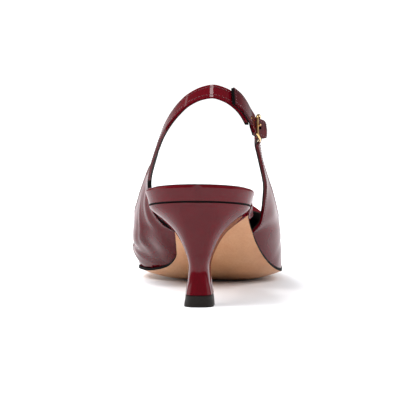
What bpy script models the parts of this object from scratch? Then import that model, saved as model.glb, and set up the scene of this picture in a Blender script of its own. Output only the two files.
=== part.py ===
"""A right slingback pump in patent leather: pointed closed toe, open back, small flared heel.

The origin is the centre of the heel's tread on the floor. +Y runs to the toe, +X to the outer
side of the foot and +Z up. A station is a distance forward of the seat's back edge.
"""

import math
from collections import namedtuple

import bmesh
import bpy
from mathutils import Matrix, Vector

# Sizes of the whole shoe, in metres
SHOE_LENGTH = 0.248
BALL_WIDTH = 0.0806
WAIST_WIDTH = 0.0410
SEAT_WIDTH = 0.0518
SEAT_ROUND = 0.0270
TOE_ROUND = 0.0060
HEEL_HEIGHT = 0.0548
TOE_SPRING = 0.0070
FIT_GAP = 0.0003

# Outsole
OUTSOLE_THICKNESS = 0.0035
SEAT_SKIVE = 0.0010
EDGE_LIFT = 0.0027
EDGE_FACE = 0.0014
TREAD_FLAT_SHARE = 0.35

# Insole, with its covered rim under the open back
RIM_THICKNESS = 0.0076
INSOLE_THICKNESS = 0.0022
RIM_OVERHANG = 0.0024
RIM_ROUND = 0.0016
SEAT_DISH = 0.0010
INSOLE_DRAFT = 0.0006
TOE_CLEARANCE = 0.0075

# Heel and top piece
HEEL_UNDERCUT = 0.0106
BREAST_STATION = 0.0560
BREAST_SCOOP = 0.0035
NECK_WIDTH = 0.0106
TOP_PIECE_HEIGHT = 0.0062
TOP_PIECE_WIDTH = 0.0155
TOP_PIECE_LENGTH = 0.0168
TOP_PIECE_BACK = 0.0090
TOP_PIECE_TAPER = 0.0009
TOP_PIECE_EDGE = 0.0003

# Upper, with the sling that is cut in one with it
UPPER_WALL = 0.0021
FEATHER_INSET = 0.0004
INSTEP_HEIGHT = 0.0362
SLING_HEIGHT = 0.0513
SLING_WIDTH = 0.0600
SLING_WALL = 0.0019
STRAP_WIDTH = 0.0095
STRAP_LEAN_DEG = 36.0
FOLD_WALL = 0.0008
FOLD_REACH = 0.0048
STUB_STRAIGHT = 0.0085
STUB_SET = 0.0002

# Buckle and the strap that it holds
BUCKLE_WIRE = 0.0015
BUCKLE_HEIGHT = 0.0136
BUCKLE_LENGTH = 0.0104
BUCKLE_CORNER = 0.0030
BUCKLE_BOW = 0.0010
BUCKLE_FALL_DEG = 24.0
BUCKLE_SPLAY_DEG = 0.5
PRONG_WIRE = 0.0011
PRONG_REACH = 0.0010
BUCKLE_STRAP_THICKNESS = 0.0018
BUCKLE_STRAP_WIDTH = 0.0098
BUCKLE_STRAP_LAP = 0.0214
BUCKLE_STRAP_TIP = 0.0026
BUCKLE_STRAP_TIP_RISE = 0.0006
BUCKLE_STRAP_ROUND = 0.0048
HOLE_LENGTH = 0.0040
HOLE_WIDTH = 0.0019

TREAD_CENTRE = TOP_PIECE_BACK + TOP_PIECE_LENGTH / 2


# Tables. Stations are shares of SHOE_LENGTH and the other columns shares of the sizes named.

OutlineRow = namedtuple("OutlineRow", "station seat_medial seat_lateral waist_medial waist_lateral"
                        " ball_medial ball_lateral")
OUTLINE = (
    OutlineRow(0.000, 0.500, 0.500, 0, 0, 0, 0),
    OutlineRow(0.115, 0.500, 0.500, 0, 0, 0, 0),
    OutlineRow(0.210, 0.463, 0.472, 0, 0, 0, 0),
    OutlineRow(0.300, 0, 0, 0.480, 0.566, 0, 0),
    OutlineRow(0.385, 0, 0, 0.392, 0.612, 0, 0),
    OutlineRow(0.460, 0, 0, 0.398, 0.705, 0, 0),
    OutlineRow(0.525, 0, 0, 0, 0, 0.262, 0.418),
    OutlineRow(0.570, 0, 0, 0, 0, 0.360, 0.462),
    OutlineRow(0.615, 0, 0, 0, 0, 0.448, 0.482),
    OutlineRow(0.670, 0, 0, 0, 0, 0.492, 0.476),
    OutlineRow(0.725, 0, 0, 0, 0, 0.484, 0.438),
    OutlineRow(0.785, 0, 0, 0, 0, 0.442, 0.362),
    OutlineRow(0.850, 0, 0, 0, 0, 0.366, 0.260),
    OutlineRow(0.910, 0, 0, 0, 0, 0.276, 0.150),
    OutlineRow(0.965, 0, 0, 0, 0, 0.182, 0.040),
    OutlineRow(1.000, 0, 0, 0, 0, 0.118, -0.036),
)

# Height of the outsole's underside along its middle
ProfileRow = namedtuple("ProfileRow", "station heel_height toe_spring")
PROFILE = (
    ProfileRow(0.000, 1.000, 0),
    ProfileRow(0.100, 0.925, 0),
    ProfileRow(0.200, 0.848, 0),
    ProfileRow(0.250, 0.790, 0),
    ProfileRow(0.300, 0.702, 0),
    ProfileRow(0.370, 0.524, 0),
    ProfileRow(0.420, 0.372, 0),
    ProfileRow(0.475, 0.217, 0),
    ProfileRow(0.525, 0.096, 0),
    ProfileRow(0.565, 0.030, 0),
    ProfileRow(0.595, 0.005, 0),
    ProfileRow(0.620, 0.000, 0),
    ProfileRow(0.720, 0.000, 0),
    ProfileRow(0.800, 0.000, 0.12),
    ProfileRow(0.900, 0.000, 0.50),
    ProfileRow(1.000, 0.000, 1.00),
)

SoleRow = namedtuple("SoleRow", "station skive thickness edge_lift")
SOLE = (
    SoleRow(0.000, 1.00, 0.00, 0.00),
    SoleRow(0.190, 1.00, 0.00, 0.00),
    SoleRow(0.270, 0.00, 0.60, 0.12),
    SoleRow(0.420, 0.00, 0.92, 0.45),
    SoleRow(0.525, 0.00, 1.00, 0.80),
    SoleRow(0.600, 0.00, 1.00, 1.00),
    SoleRow(0.750, 0.00, 1.00, 1.00),
    SoleRow(0.900, 0.00, 0.92, 0.70),
    SoleRow(1.000, 0.00, 0.85, 0.40),
)

# The insole's rim stands out over the seat and draws in where the upper closes over it
InsoleRow = namedtuple("InsoleRow", "station rim_thickness insole_thickness overhang inside")
INSOLE = (
    InsoleRow(0.000, 1.00, 0, 0.80, 0.00),
    InsoleRow(0.200, 0.97, 0, 0.80, 0.00),
    InsoleRow(0.260, 0.80, 0, 0.95, 0.00),
    InsoleRow(0.320, 0.50, 0, 1.00, 0.00),
    InsoleRow(0.345, 0, 1.50, 0.60, 0.40),
    InsoleRow(0.375, 0, 1.00, 0.00, 1.00),
    InsoleRow(0.660, 0, 1.00, 0.00, 1.00),
    InsoleRow(0.780, 0, 1.00, 0.00, 1.35),
    InsoleRow(1.000, 0, 1.00, 0.00, 1.60),
)

# From the top piece, at level 0, to the seat, at level 1
HeelRow = namedtuple("HeelRow", "level neck spread breast undercut")
HEEL = (
    HeelRow(0.00, 1.28, 0.000, 0.000, 0.90),
    HeelRow(0.14, 1.10, 0.000, 0.020, 0.965),
    HeelRow(0.31, 1.00, 0.000, 0.085, 1.00),
    HeelRow(0.40, 1.00, 0.034, 0.130, 0.97),
    HeelRow(0.48, 1.00, 0.092, 0.180, 0.88),
    HeelRow(0.575, 1.00, 0.180, 0.260, 0.79),
    HeelRow(0.71, 1.00, 0.354, 0.410, 0.62),
    HeelRow(0.795, 1.00, 0.529, 0.545, 0.49),
    HeelRow(0.86, 1.00, 0.684, 0.670, 0.38),
    HeelRow(0.91, 1.00, 0.825, 0.790, 0.29),
    HeelRow(0.97, 1.00, 0.965, 0.940, 0.16),
    HeelRow(1.00, 1.00, 1.000, 1.000, 0.08),
)

# Crown of the vamp from the throat to the toe, above the sole's edge
CrownRow = namedtuple("CrownRow", "station rise")
CROWN = (
    CrownRow(0.698, 1.00),
    CrownRow(0.746, 0.89),
    CrownRow(0.806, 0.70),
    CrownRow(0.887, 0.46),
    CrownRow(0.948, 0.32),
    CrownRow(1.000, 0.24),
)

# Sections of the upper where its foot is on the sole. Foot and top are stations, the top's x is
# a share of BALL_WIDTH and its rise of INSTEP_HEIGHT. Angles turn from outwards, at 0, to up, at 90,
# and full is how far the section's curve holds its end directions, as a share of its length.
ForepartRow = namedtuple("ForepartRow", "foot top top_medial top_lateral rise leave_medial"
                         " leave_lateral arriving full_medial full_lateral")
FOREPART = (
    ForepartRow(0.389, 0.484, -0.468, 0.462, 0.700, 12, 26, 92, 0.58, 0.44),
    ForepartRow(0.423, 0.520, -0.472, 0.466, 0.730, 11, 31, 97, 0.66, 0.48),
    ForepartRow(0.464, 0.554, -0.464, 0.458, 0.765, 13, 40, 103, 0.73, 0.51),
    ForepartRow(0.508, 0.589, -0.436, 0.430, 0.795, 18, 53, 111, 0.77, 0.53),
    ForepartRow(0.556, 0.621, -0.380, 0.370, 0.820, 26, 70, 121, 0.81, 0.53),
    ForepartRow(0.601, 0.651, -0.291, 0.280, 0.858, 46, 82, 134, 0.72, 0.52),
    ForepartRow(0.637, 0.675, -0.183, 0.184, 0.915, 68, 89, 150, 0.63, 0.53),
    ForepartRow(0.665, 0.692, -0.085, 0.088, 0.970, 80, 93, 166, 0.59, 0.55),
    ForepartRow(0.685, 0.698, 0.000, 0.000, 1.000, 88, 95, 180, 0.57, 0.56),
    ForepartRow(0.760, 0.766, 0.000, 0.000, 1.000, 96, 97, 180, 0.54, 0.54),
    ForepartRow(0.880, 0.883, 0.000, 0.000, 1.000, 97, 98, 180, 0.50, 0.50),
    ForepartRow(1.000, 1.000, 0.000, 0.000, 1.000, 94, 94, 180, 0.48, 0.48),
)

# Sections of the quarters behind the sole's waist. x is a share of SLING_WIDTH, the foot's rise
# of SLING_HEIGHT and the top's rise of INSTEP_HEIGHT, each above the sole's edge at its station.
QuarterRow = namedtuple("QuarterRow", "foot foot_medial foot_lateral foot_rise top top_medial"
                        " top_lateral top_rise leave_medial leave_lateral arriving full_medial"
                        " full_lateral")
QUARTER = (
    QuarterRow(0.371, -0.375, 0.483, 0.050, 0.448, -0.612, 0.610, 0.700, 22, 34, 91, 0.52, 0.42),
    QuarterRow(0.347, -0.450, 0.515, 0.115, 0.407, -0.582, 0.590, 0.707, 42, 50, 92, 0.48, 0.40),
    QuarterRow(0.315, -0.483, 0.540, 0.215, 0.361, -0.540, 0.562, 0.704, 70, 72, 94, 0.40, 0.36),
    QuarterRow(0.282, -0.487, 0.550, 0.287, 0.318, -0.497, 0.540, 0.713, 82, 82, 96, 0.34, 0.34),
)

# Lower edge of the strap's outer face. x is a share of SLING_WIDTH, rise a share of SLING_HEIGHT
# above the sole's edge, lean the sideways part of the strap's width and width its share.
StrapRow = namedtuple("StrapRow", "station x rise lean width")
SLING = (
    StrapRow(0.249, -0.472, 0.365, 0.20, 1.00),
    StrapRow(0.208, -0.438, 0.470, 0.24, 1.00),
    StrapRow(0.163, -0.387, 0.586, 0.25, 0.98),
    StrapRow(0.122, -0.335, 0.690, 0.24, 0.96),
    StrapRow(0.081, -0.262, 0.793, 0.20, 0.85),
    StrapRow(0.048, -0.184, 0.876, 0.14, 0.78),
    StrapRow(0.022, -0.094, 0.950, 0.07, 0.72),
    StrapRow(0.006, 0.030, 1.006, 0.02, 0.75),
    StrapRow(0.002, 0.130, 1.020, 0.00, 0.79),
    StrapRow(0.012, 0.235, 0.990, -0.04, 0.82),
    StrapRow(0.036, 0.325, 0.932, -0.10, 0.89),
    StrapRow(0.060, 0.377, 0.872, -0.13, 0.96),
    StrapRow(0.088, 0.420, 0.790, -0.14, 1.00),
)
STUB = (
    StrapRow(0.249, 0.540, 0.362, -0.14, 1.00),
    StrapRow(0.2234, 0.523, 0.455, -0.12, 1.00),
)
BUCKLE_PLACE = StrapRow(0.1367, 0.490, 0.777, -0.02, 1.00)

TOE_ROWS = 7
VAMP_ROWS = 13
THROAT_ROWS = 15
QUARTER_ROWS = 10
SLING_ROWS = 30
STUB_ROWS = 8
ACROSS = 8
FOLD_SLOT = (3, 4)


def curve(rows, column, key=0):
    """A smooth curve through a table's column that stays between its rows' values."""
    xs = [row[key] for row in rows]
    ys = [getattr(row, column) for row in rows]
    steps = [xs[i + 1] - xs[i] for i in range(len(xs) - 1)]
    rates = [(ys[i + 1] - ys[i]) / steps[i] for i in range(len(steps))]
    slopes = [rates[0]]
    for i in range(1, len(rates)):
        if rates[i - 1] * rates[i] <= 0:
            slopes.append(0.0)
        else:
            before = 2 * steps[i] + steps[i - 1]
            after = steps[i] + 2 * steps[i - 1]
            slopes.append((before + after) / (before / rates[i - 1] + after / rates[i]))
    slopes.append(rates[-1])

    def at(x):
        x = min(max(x, xs[0]), xs[-1])
        i = max(k for k in range(len(steps)) if xs[k] <= x)
        t = (x - xs[i]) / steps[i]
        return ((1 + 2 * t) * (1 - t) ** 2 * ys[i] + t * (1 - t) ** 2 * steps[i] * slopes[i]
                + t * t * (3 - 2 * t) * ys[i + 1] - t * t * (1 - t) * steps[i] * slopes[i + 1])

    return at


def place(x, station, height):
    """A point of the shoe in the frame whose origin is the tread's centre."""
    return Vector((x, station - TREAD_CENTRE, height))


# Outline and heights of the sole

OutlineSize = namedtuple("OutlineSize", "station medial lateral")
OUTLINE_SIZES = tuple(
    OutlineSize(row.station,
                row.seat_medial * SEAT_WIDTH + row.waist_medial * WAIST_WIDTH
                + row.ball_medial * BALL_WIDTH,
                row.seat_lateral * SEAT_WIDTH + row.waist_lateral * WAIST_WIDTH
                + row.ball_lateral * BALL_WIDTH)
    for row in OUTLINE)
MEDIAL_EDGE = curve(OUTLINE_SIZES, "medial")
LATERAL_EDGE = curve(OUTLINE_SIZES, "lateral")
UNDERSIDE_HEEL = curve(PROFILE, "heel_height")
UNDERSIDE_TOE = curve(PROFILE, "toe_spring")
SKIVE_SHARE = curve(SOLE, "skive")
THICKNESS_SHARE = curve(SOLE, "thickness")
LIFT_SHARE = curve(SOLE, "edge_lift")
CROWN_RISE = curve(CROWN, "rise")


def outline(station, offset=0.0):
    """Middle and half width of the sole's outline, grown by offset all round."""
    share = station / SHOE_LENGTH
    medial = MEDIAL_EDGE(share)
    lateral = LATERAL_EDGE(share)
    half = (medial + lateral) / 2 + offset
    back = (station + offset) / (SEAT_ROUND + offset)
    if back < 1:
        half *= math.sqrt(max(0.0, 1 - (1 - back) ** 2))
    front = (SHOE_LENGTH + offset - station) / (TOE_ROUND + max(offset, -TOE_ROUND / 2))
    if front < 1:
        half *= math.sqrt(max(0.0, 1 - (1 - front) ** 2))
    return (lateral - medial) / 2, max(half, 0.0)


def underside(station):
    """Height of the outsole's underside along its middle."""
    share = station / SHOE_LENGTH
    return HEEL_HEIGHT * UNDERSIDE_HEEL(share) + TOE_SPRING * UNDERSIDE_TOE(share)


def sole_thickness(station):
    share = station / SHOE_LENGTH
    return SEAT_SKIVE * SKIVE_SHARE(share) + OUTSOLE_THICKNESS * THICKNESS_SHARE(share)


def edge_lift(station):
    return EDGE_LIFT * LIFT_SHARE(station / SHOE_LENGTH)


def sole_top(station, across=1.0):
    """Height of the outsole's top, where across runs from -1 to 1 between its edges."""
    return underside(station) + sole_thickness(station) + edge_lift(station) * across * across


def clear(name, objects_in):
    """A collection for the shoe, in an emptied scene."""
    for obj in list(bpy.data.objects):
        bpy.data.objects.remove(obj)
    made = bpy.data.collections.new(name)
    objects_in.children.link(made)
    return made


def material(name, colour, roughness, metallic=0.0):
    made = bpy.data.materials.new(name)
    made.use_nodes = True
    shader = made.node_tree.nodes["Principled BSDF"]
    shader.inputs["Base Color"].default_value = (*colour, 1.0)
    shader.inputs["Roughness"].default_value = roughness
    shader.inputs["Metallic"].default_value = metallic
    return made


def finish_mesh(name, mesh_data, finish, collection):
    """An object of its own from a bmesh, faces pointing out and round faces smooth."""
    bmesh.ops.recalc_face_normals(mesh_data, faces=mesh_data.faces)
    mesh = bpy.data.meshes.new(name)
    mesh_data.to_mesh(mesh)
    mesh_data.free()
    mesh.materials.append(finish)
    mesh.shade_smooth()
    mesh.set_sharp_from_angle(angle=math.radians(40))
    obj = bpy.data.objects.new(name, mesh)
    collection.objects.link(obj)
    return obj


def loft(name, rings, finish, collection):
    """A closed solid through rings that have the same number of points."""
    mesh_data = bmesh.new()
    rows = [[mesh_data.verts.new(point) for point in ring] for ring in rings]
    count = len(rings[0])
    for low, high in zip(rows, rows[1:]):
        for i in range(count):
            k = (i + 1) % count
            mesh_data.faces.new((low[i], low[k], high[k], high[i]))
    mesh_data.faces.new(rows[0])
    mesh_data.faces.new(rows[-1])
    return finish_mesh(name, mesh_data, finish, collection)


def stations(start, end, count, round_start, round_end):
    """Stations that crowd towards a round end, none of them quite on it."""
    made = []
    for i in range(count + 1):
        t = i / count
        if round_start and round_end:
            t = (1 - math.cos(math.pi * (0.02 + 0.96 * t))) / 2
        elif round_start:
            t = 1 - math.cos(math.pi / 2 * (0.03 + 0.97 * t))
        elif round_end:
            t = math.sin(math.pi / 2 * 0.97 * t)
        made.append(start + (end - start) * t)
    return made


def sole_stations(offset=0.0):
    back = stations(-offset, SEAT_ROUND, 8, True, False)
    middle = stations(SEAT_ROUND, SHOE_LENGTH - 2 * TOE_ROUND, 34, False, False)[1:]
    front = stations(SHOE_LENGTH - 2 * TOE_ROUND, SHOE_LENGTH + offset, 6, False, True)[1:]
    return back + middle + front


def outsole(finish, collection):
    """Leather sole: flat under the ball, lifted towards its edges, with a thin square edge."""
    shares = (-1.0, -0.8, -0.55, -0.28, 0.0, 0.28, 0.55, 0.8, 1.0)
    rings = []
    for s in sole_stations():
        middle, half = outline(s)
        top_edge = sole_top(s)
        low_edge = top_edge - min(EDGE_FACE, sole_thickness(s) * 0.9)
        ring = [place(middle + half * u, s, sole_top(s, u)) for u in shares]
        for u in reversed(shares):
            ramp = max(0.0, (abs(u) - TREAD_FLAT_SHARE) / (1 - TREAD_FLAT_SHARE)) ** 2
            ring.append(place(middle + half * u, s,
                              underside(s) + (low_edge - underside(s)) * ramp))
        rings.append(ring)
    return loft("outsole", rings, finish, collection)


def insole(finish, collection):
    """Board with its leather cover: a thick rim at the seat, thin inside the upper."""
    thickness_rim = curve(INSOLE, "rim_thickness")
    thickness_front = curve(INSOLE, "insole_thickness")
    overhang_share = curve(INSOLE, "overhang")
    inside_share = curve(INSOLE, "inside")
    clearance = FEATHER_INSET + UPPER_WALL + FIT_GAP
    places = (stations(0, 0.11, 9, True, False) + stations(0.11, 0.32, 9, False, False)[1:]
              + stations(0.32, 0.40, 8, False, False)[1:]
              + stations(0.40, 0.95, 17, False, False)[1:] + stations(0.95, 1, 5, False, True)[1:])
    rings = []
    for share in places:
        thick = RIM_THICKNESS * thickness_rim(share) + INSOLE_THICKNESS * thickness_front(share)
        round_edge = min(RIM_ROUND, thick * 0.4)
        overhang = RIM_OVERHANG * overhang_share(share)
        inside = inside_share(share)

        def edge(level):
            """Station, middle and half width of the edge at a share of the thickness."""
            offset = overhang * level - (clearance + INSOLE_DRAFT * level) * inside
            shift = RIM_OVERHANG * INSOLE[0].overhang * level * (1 - share)
            station = share * SHOE_LENGTH - shift - TOE_CLEARANCE * share ** 3
            return station, *outline(station, offset)

        low_station, low_middle, low_half = edge(0.0)
        _, sole_half = outline(low_station)
        rise = sole_top(low_station, min(1.0, low_half / sole_half))
        ring = []
        for i in range(7):
            u = -1 + 2 * i / 6
            reach = min(1.0, abs(low_half * u) / sole_half)
            ring.append(place(low_middle + low_half * u, low_station,
                              sole_top(low_station, reach) + FIT_GAP))
        side = [(0.0, thick - round_edge)]
        for angle in (30, 60, 90):
            turn = math.radians(angle)
            side.append((round_edge * (1 - math.cos(turn)),
                         thick - round_edge * (1 - math.sin(turn))))
        station, middle, half = edge(1.0)
        narrow = min(1.0, half / (3 * round_edge))
        inner = half - side[-1][0] * narrow
        dish = SEAT_DISH * min(1.0, half / (SEAT_WIDTH / 2))
        for x, up in side:
            ring.append(place(middle + half - x * narrow, station, rise + FIT_GAP + up))
        for i in range(1, 4):
            u = 1 - 2 * i / 4
            ring.append(place(middle + inner * u, station,
                              rise + FIT_GAP + thick - dish * (1 - u * u)))
        for x, up in reversed(side):
            ring.append(place(middle - half + x * narrow, station, rise + FIT_GAP + up))
        rings.append(ring)
    return loft("insole", rings, finish, collection)


def heel_ring(level, floor, grow=0.0, length=None, width=None):
    """The heel's section at a level, as x and station, from one breast corner round the back."""
    neck = curve(HEEL, "neck")(level)
    spread = curve(HEEL, "spread")(level)
    breast = curve(HEEL, "breast")(level)
    undercut = curve(HEEL, "undercut")(level)
    half = (NECK_WIDTH * neck * (1 - spread) + SEAT_WIDTH * spread) / 2
    back = HEEL_UNDERCUT * undercut
    neck_front = TOP_PIECE_BACK + TOP_PIECE_LENGTH - TOP_PIECE_TAPER
    front = neck_front + (BREAST_STATION - neck_front) * breast
    if width is not None:
        half = width / 2
        back = TOP_PIECE_BACK
        front = TOP_PIECE_BACK + length
    half += grow
    back -= grow
    front += grow
    count = 11
    widest = 0.56
    side = []
    for i in range(count + 1):
        f = (i / count) ** 1.6
        if f < widest:
            neck_share = math.sqrt(1 - (1 - f / widest) ** 2)
        else:
            neck_share = 1 - 0.07 * ((f - widest) / (1 - widest)) ** 2
        station = back + (front - back) * f
        middle, seat_half = outline(station)
        seat_share = seat_half / (SEAT_WIDTH / 2)
        x = half * (neck_share * (1 - spread) + seat_share * spread)
        side.append((x, station, middle * spread))
    ring = [(m - x, s) for x, s, m in reversed(side)]
    ring += [(m + x, s) for x, s, m in side[1:]]
    corner = side[-1][0]
    scoop = BREAST_SCOOP * min(1.0, spread * 1.6)
    for u in (0.6, 0.2, -0.2, -0.6):
        ring.append((side[-1][2] + corner * u, front - scoop * (1 - u * u)))
    return [place(x, s, floor(s, level)) for x, s in ring]


def heel(finish, collection):
    """Moulded heel under the seat, narrow at its neck, covered in the upper's leather."""

    def height(station, level):
        seat = underside(station) - FIT_GAP
        return TOP_PIECE_HEIGHT + (seat - TOP_PIECE_HEIGHT) * level

    count = 26
    levels = [math.sin(math.pi / 2 * i / count) for i in range(count + 1)]
    rings = [heel_ring(level, height) for level in levels]
    return loft("heel", rings, finish, collection)


def top_piece(finish, collection):
    """Rubber tread of the heel, wider at the floor than at the heel."""
    top = TOP_PIECE_HEIGHT - FIT_GAP
    edge = TOP_PIECE_EDGE
    floor_ring = heel_ring(0.0, lambda s, level: 0.0, -edge, TOP_PIECE_LENGTH, TOP_PIECE_WIDTH)
    wide_ring = heel_ring(0.0, lambda s, level: edge, 0.0, TOP_PIECE_LENGTH, TOP_PIECE_WIDTH)
    neck_ring = heel_ring(0.0, lambda s, level: top)
    return loft("top_piece", [floor_ring, wide_ring, neck_ring], finish, collection)


# Upper: rows of points from its foot on the sole, or its lower edge, to its topline


def bezier(a, b, c, d, t):
    u = 1 - t
    return a * u ** 3 + b * 3 * u * u * t + c * 3 * u * t * t + d * t ** 3


def across_row(foot, top, side, leaving, arriving, full):
    """Points of one section. side is -1 on the medial and 1 on the lateral half."""
    length = (top - foot).length
    leave = math.radians(leaving)
    arrive = math.radians(arriving)
    out = Vector((side * math.cos(leave), 0, math.sin(leave)))
    end = Vector((side * math.cos(arrive), 0, math.sin(arrive)))
    ahead = (top - foot).y * Vector((0, 1, 0))
    start_handle = foot + out * (length * full) + ahead * 0.3
    end_handle = top - end * (length * full * 0.8) - ahead * 0.3
    return [bezier(foot, start_handle, end_handle, top, i / ACROSS) for i in range(ACROSS + 1)]


def foot_on_sole(station, side):
    middle, half = outline(station, -FEATHER_INSET)
    return place(middle + side * half, station, sole_top(station) + FIT_GAP)


def crown_point(station):
    middle, _ = outline(station, -FEATHER_INSET)
    front = (SHOE_LENGTH - FEATHER_INSET - station) / TOE_ROUND
    close = math.sqrt(max(0.0, 1 - (1 - front) ** 2)) if front < 1 else 1.0
    rise = INSTEP_HEIGHT * CROWN_RISE(station / SHOE_LENGTH) * close
    start = FOREPART[8].top
    bend = min(1.0, max(0.0, (station / SHOE_LENGTH - start) / (1 - start)))
    return place(middle * bend, station, sole_top(station) + FIT_GAP + rise)


def forepart_row(share, side):
    """The section whose foot is at this share of the length, on the sole."""
    row = {name: curve(FOREPART, name)(share) for name in ForepartRow._fields[1:]}
    half = "medial" if side < 0 else "lateral"
    foot = foot_on_sole(share * SHOE_LENGTH, side)
    top_station = row["top"] * SHOE_LENGTH
    if share >= FOREPART[8].foot - 1e-6:
        tip = SHOE_LENGTH - FEATHER_INSET
        top = crown_point(min(max(top_station, share * SHOE_LENGTH), tip))
    else:
        x = row["top_" + half] * BALL_WIDTH
        top = place(x, top_station, sole_top(top_station) + INSTEP_HEIGHT * row["rise"] + FIT_GAP)
    return across_row(foot, top, side, row["leave_" + half], row["arriving"],
                      row["full_" + half])


def quarter_sections(side):
    """Sections from the sole's waist back to the strap: foot, top, angles and fullness."""
    first = FOREPART[0]
    station = first.foot * SHOE_LENGTH
    top_station = first.top * SHOE_LENGTH
    medial = side < 0
    x = (first.top_medial if medial else first.top_lateral) * BALL_WIDTH
    sections = [(foot_on_sole(station, side),
                 place(x, top_station,
                       sole_top(top_station) + INSTEP_HEIGHT * first.rise + FIT_GAP),
                 first.leave_medial if medial else first.leave_lateral, first.arriving,
                 first.full_medial if medial else first.full_lateral)]
    for row in QUARTER:
        foot_x = (row.foot_medial if medial else row.foot_lateral) * SLING_WIDTH
        top_x = (row.top_medial if medial else row.top_lateral) * SLING_WIDTH
        foot_station = row.foot * SHOE_LENGTH
        top_station = row.top * SHOE_LENGTH
        sections.append((
            place(foot_x, foot_station, sole_top(foot_station) + SLING_HEIGHT * row.foot_rise),
            place(top_x, top_station, sole_top(top_station) + INSTEP_HEIGHT * row.top_rise),
            row.leave_medial if medial else row.leave_lateral, row.arriving,
            row.full_medial if medial else row.full_lateral))
    return sections


def strap_section(row):
    """Foot and top of the strap at a row of its table."""
    station = row.station * SHOE_LENGTH
    foot = place(row.x * SLING_WIDTH, station,
                 sole_top(max(station, 0.0)) + SLING_HEIGHT * row.rise)
    lean = math.radians(STRAP_LEAN_DEG)
    width = Vector((row.lean, math.sin(lean), math.cos(lean))).normalized()
    return foot, foot + width * (STRAP_WIDTH * row.width)


def quarter_and_strap(side, straps, quarter_count, strap_count):
    """Rows of the quarter, then of the strap that it draws out into."""
    sections = quarter_sections(side)
    feet = [s[0] for s in sections] + [s[0] for s in straps]
    tops = [s[1] for s in sections] + [s[1] for s in straps]
    leaving = [s[2] for s in sections] + [88.0] * len(straps)
    arriving = [s[3] for s in sections] + [97.0] * len(straps)
    full = [s[4] for s in sections] + [0.33] * len(straps)
    lengths = [0.0]
    for a, b in zip(feet, feet[1:]):
        lengths.append(lengths[-1] + (b - a).length)
    split = lengths[len(sections)] / lengths[-1]
    shares = [split * i / quarter_count for i in range(quarter_count)]
    shares += [split + (1 - split) * i / strap_count for i in range(strap_count + 1)]
    foot_curve = smooth_path(feet, lengths)
    top_curve = smooth_path(tops, lengths)
    Angles = namedtuple("Angles", "at leaving arriving full")
    angle_rows = [Angles(length / lengths[-1], *row)
                  for length, *row in zip(lengths, leaving, arriving, full)]
    leave_curve = curve(angle_rows, "leaving")
    arrive_curve = curve(angle_rows, "arriving")
    full_curve = curve(angle_rows, "full")
    made = []
    for share in shares:
        foot = foot_curve(share * lengths[-1])
        top = top_curve(share * lengths[-1])
        bent = max(0.0, 1 - share / split)
        bowed = across_row(foot, top, side, leave_curve(share), arrive_curve(share),
                           full_curve(share))
        straight = [foot + (top - foot) * (i / ACROSS) for i in range(ACROSS + 1)]
        keep = min(1.0, bent * 2.2)
        made.append([b * keep + s * (1 - keep) for b, s in zip(bowed, straight)])
    return made


def smooth_path(points, lengths):
    """A smooth curve through points at the given lengths, one cubic curve for each axis."""
    Step = namedtuple("Step", "at x y z")
    rows = [Step(length, *point) for length, point in zip(lengths, points)]
    axes = [curve_through(rows, name) for name in "xyz"]
    return lambda length: Vector([axis(length) for axis in axes])


def curve_through(rows, column):
    """A curve through a table's column with the slopes of the neighbouring rows."""
    xs = [row[0] for row in rows]
    ys = [getattr(row, column) for row in rows]
    rates = [(ys[i + 1] - ys[i]) / (xs[i + 1] - xs[i]) for i in range(len(xs) - 1)]
    slopes = [rates[0]]
    for i in range(1, len(rates)):
        before = xs[i] - xs[i - 1]
        after = xs[i + 1] - xs[i]
        slopes.append((rates[i - 1] * after + rates[i] * before) / (before + after))
    slopes.append(rates[-1])

    def at(x):
        x = min(max(x, xs[0]), xs[-1])
        i = max(k for k in range(len(rates)) if xs[k] <= x)
        step = xs[i + 1] - xs[i]
        t = (x - xs[i]) / step
        return ((1 + 2 * t) * (1 - t) ** 2 * ys[i] + t * (1 - t) ** 2 * step * slopes[i]
                + t * t * (3 - 2 * t) * ys[i + 1] - t * t * (1 - t) * step * slopes[i + 1])

    return at


def surface_normals(rows, outward):
    """Unit normals of a grid of points, turned to the side that outward names."""
    made = []
    last = len(rows) - 1
    for i, row in enumerate(rows):
        line = []
        for j in range(len(row)):
            along = rows[min(i + 1, last)][j] - rows[max(i - 1, 0)][j]
            over = row[min(j + 1, len(row) - 1)] - row[max(j - 1, 0)]
            normal = along.cross(over)
            line.append(normal.normalized() * outward)
        made.append(line)
    return made


def buckle_point(ahead, across, out):
    """A point from the buckle's centre: along the strap to the front, across it, and outwards."""
    fall = math.radians(BUCKLE_FALL_DEG)
    splay = math.radians(BUCKLE_SPLAY_DEG)
    station = BUCKLE_PLACE.station * SHOE_LENGTH
    centre = place(BUCKLE_PLACE.x * SLING_WIDTH, station,
                   sole_top(station) + SLING_HEIGHT * BUCKLE_PLACE.rise)
    along = Vector((math.sin(splay) * math.cos(fall), math.cos(splay) * math.cos(fall),
                    -math.sin(fall)))
    up = Vector((BUCKLE_PLACE.lean, math.sin(fall), math.cos(fall)))
    up = (up - along * up.dot(along)).normalized()
    return centre + along * ahead + up * across + along.cross(up) * out


def front_bar():
    """How far ahead of the buckle's centre its bars are."""
    return (BUCKLE_LENGTH - BUCKLE_WIRE) / 2


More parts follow.
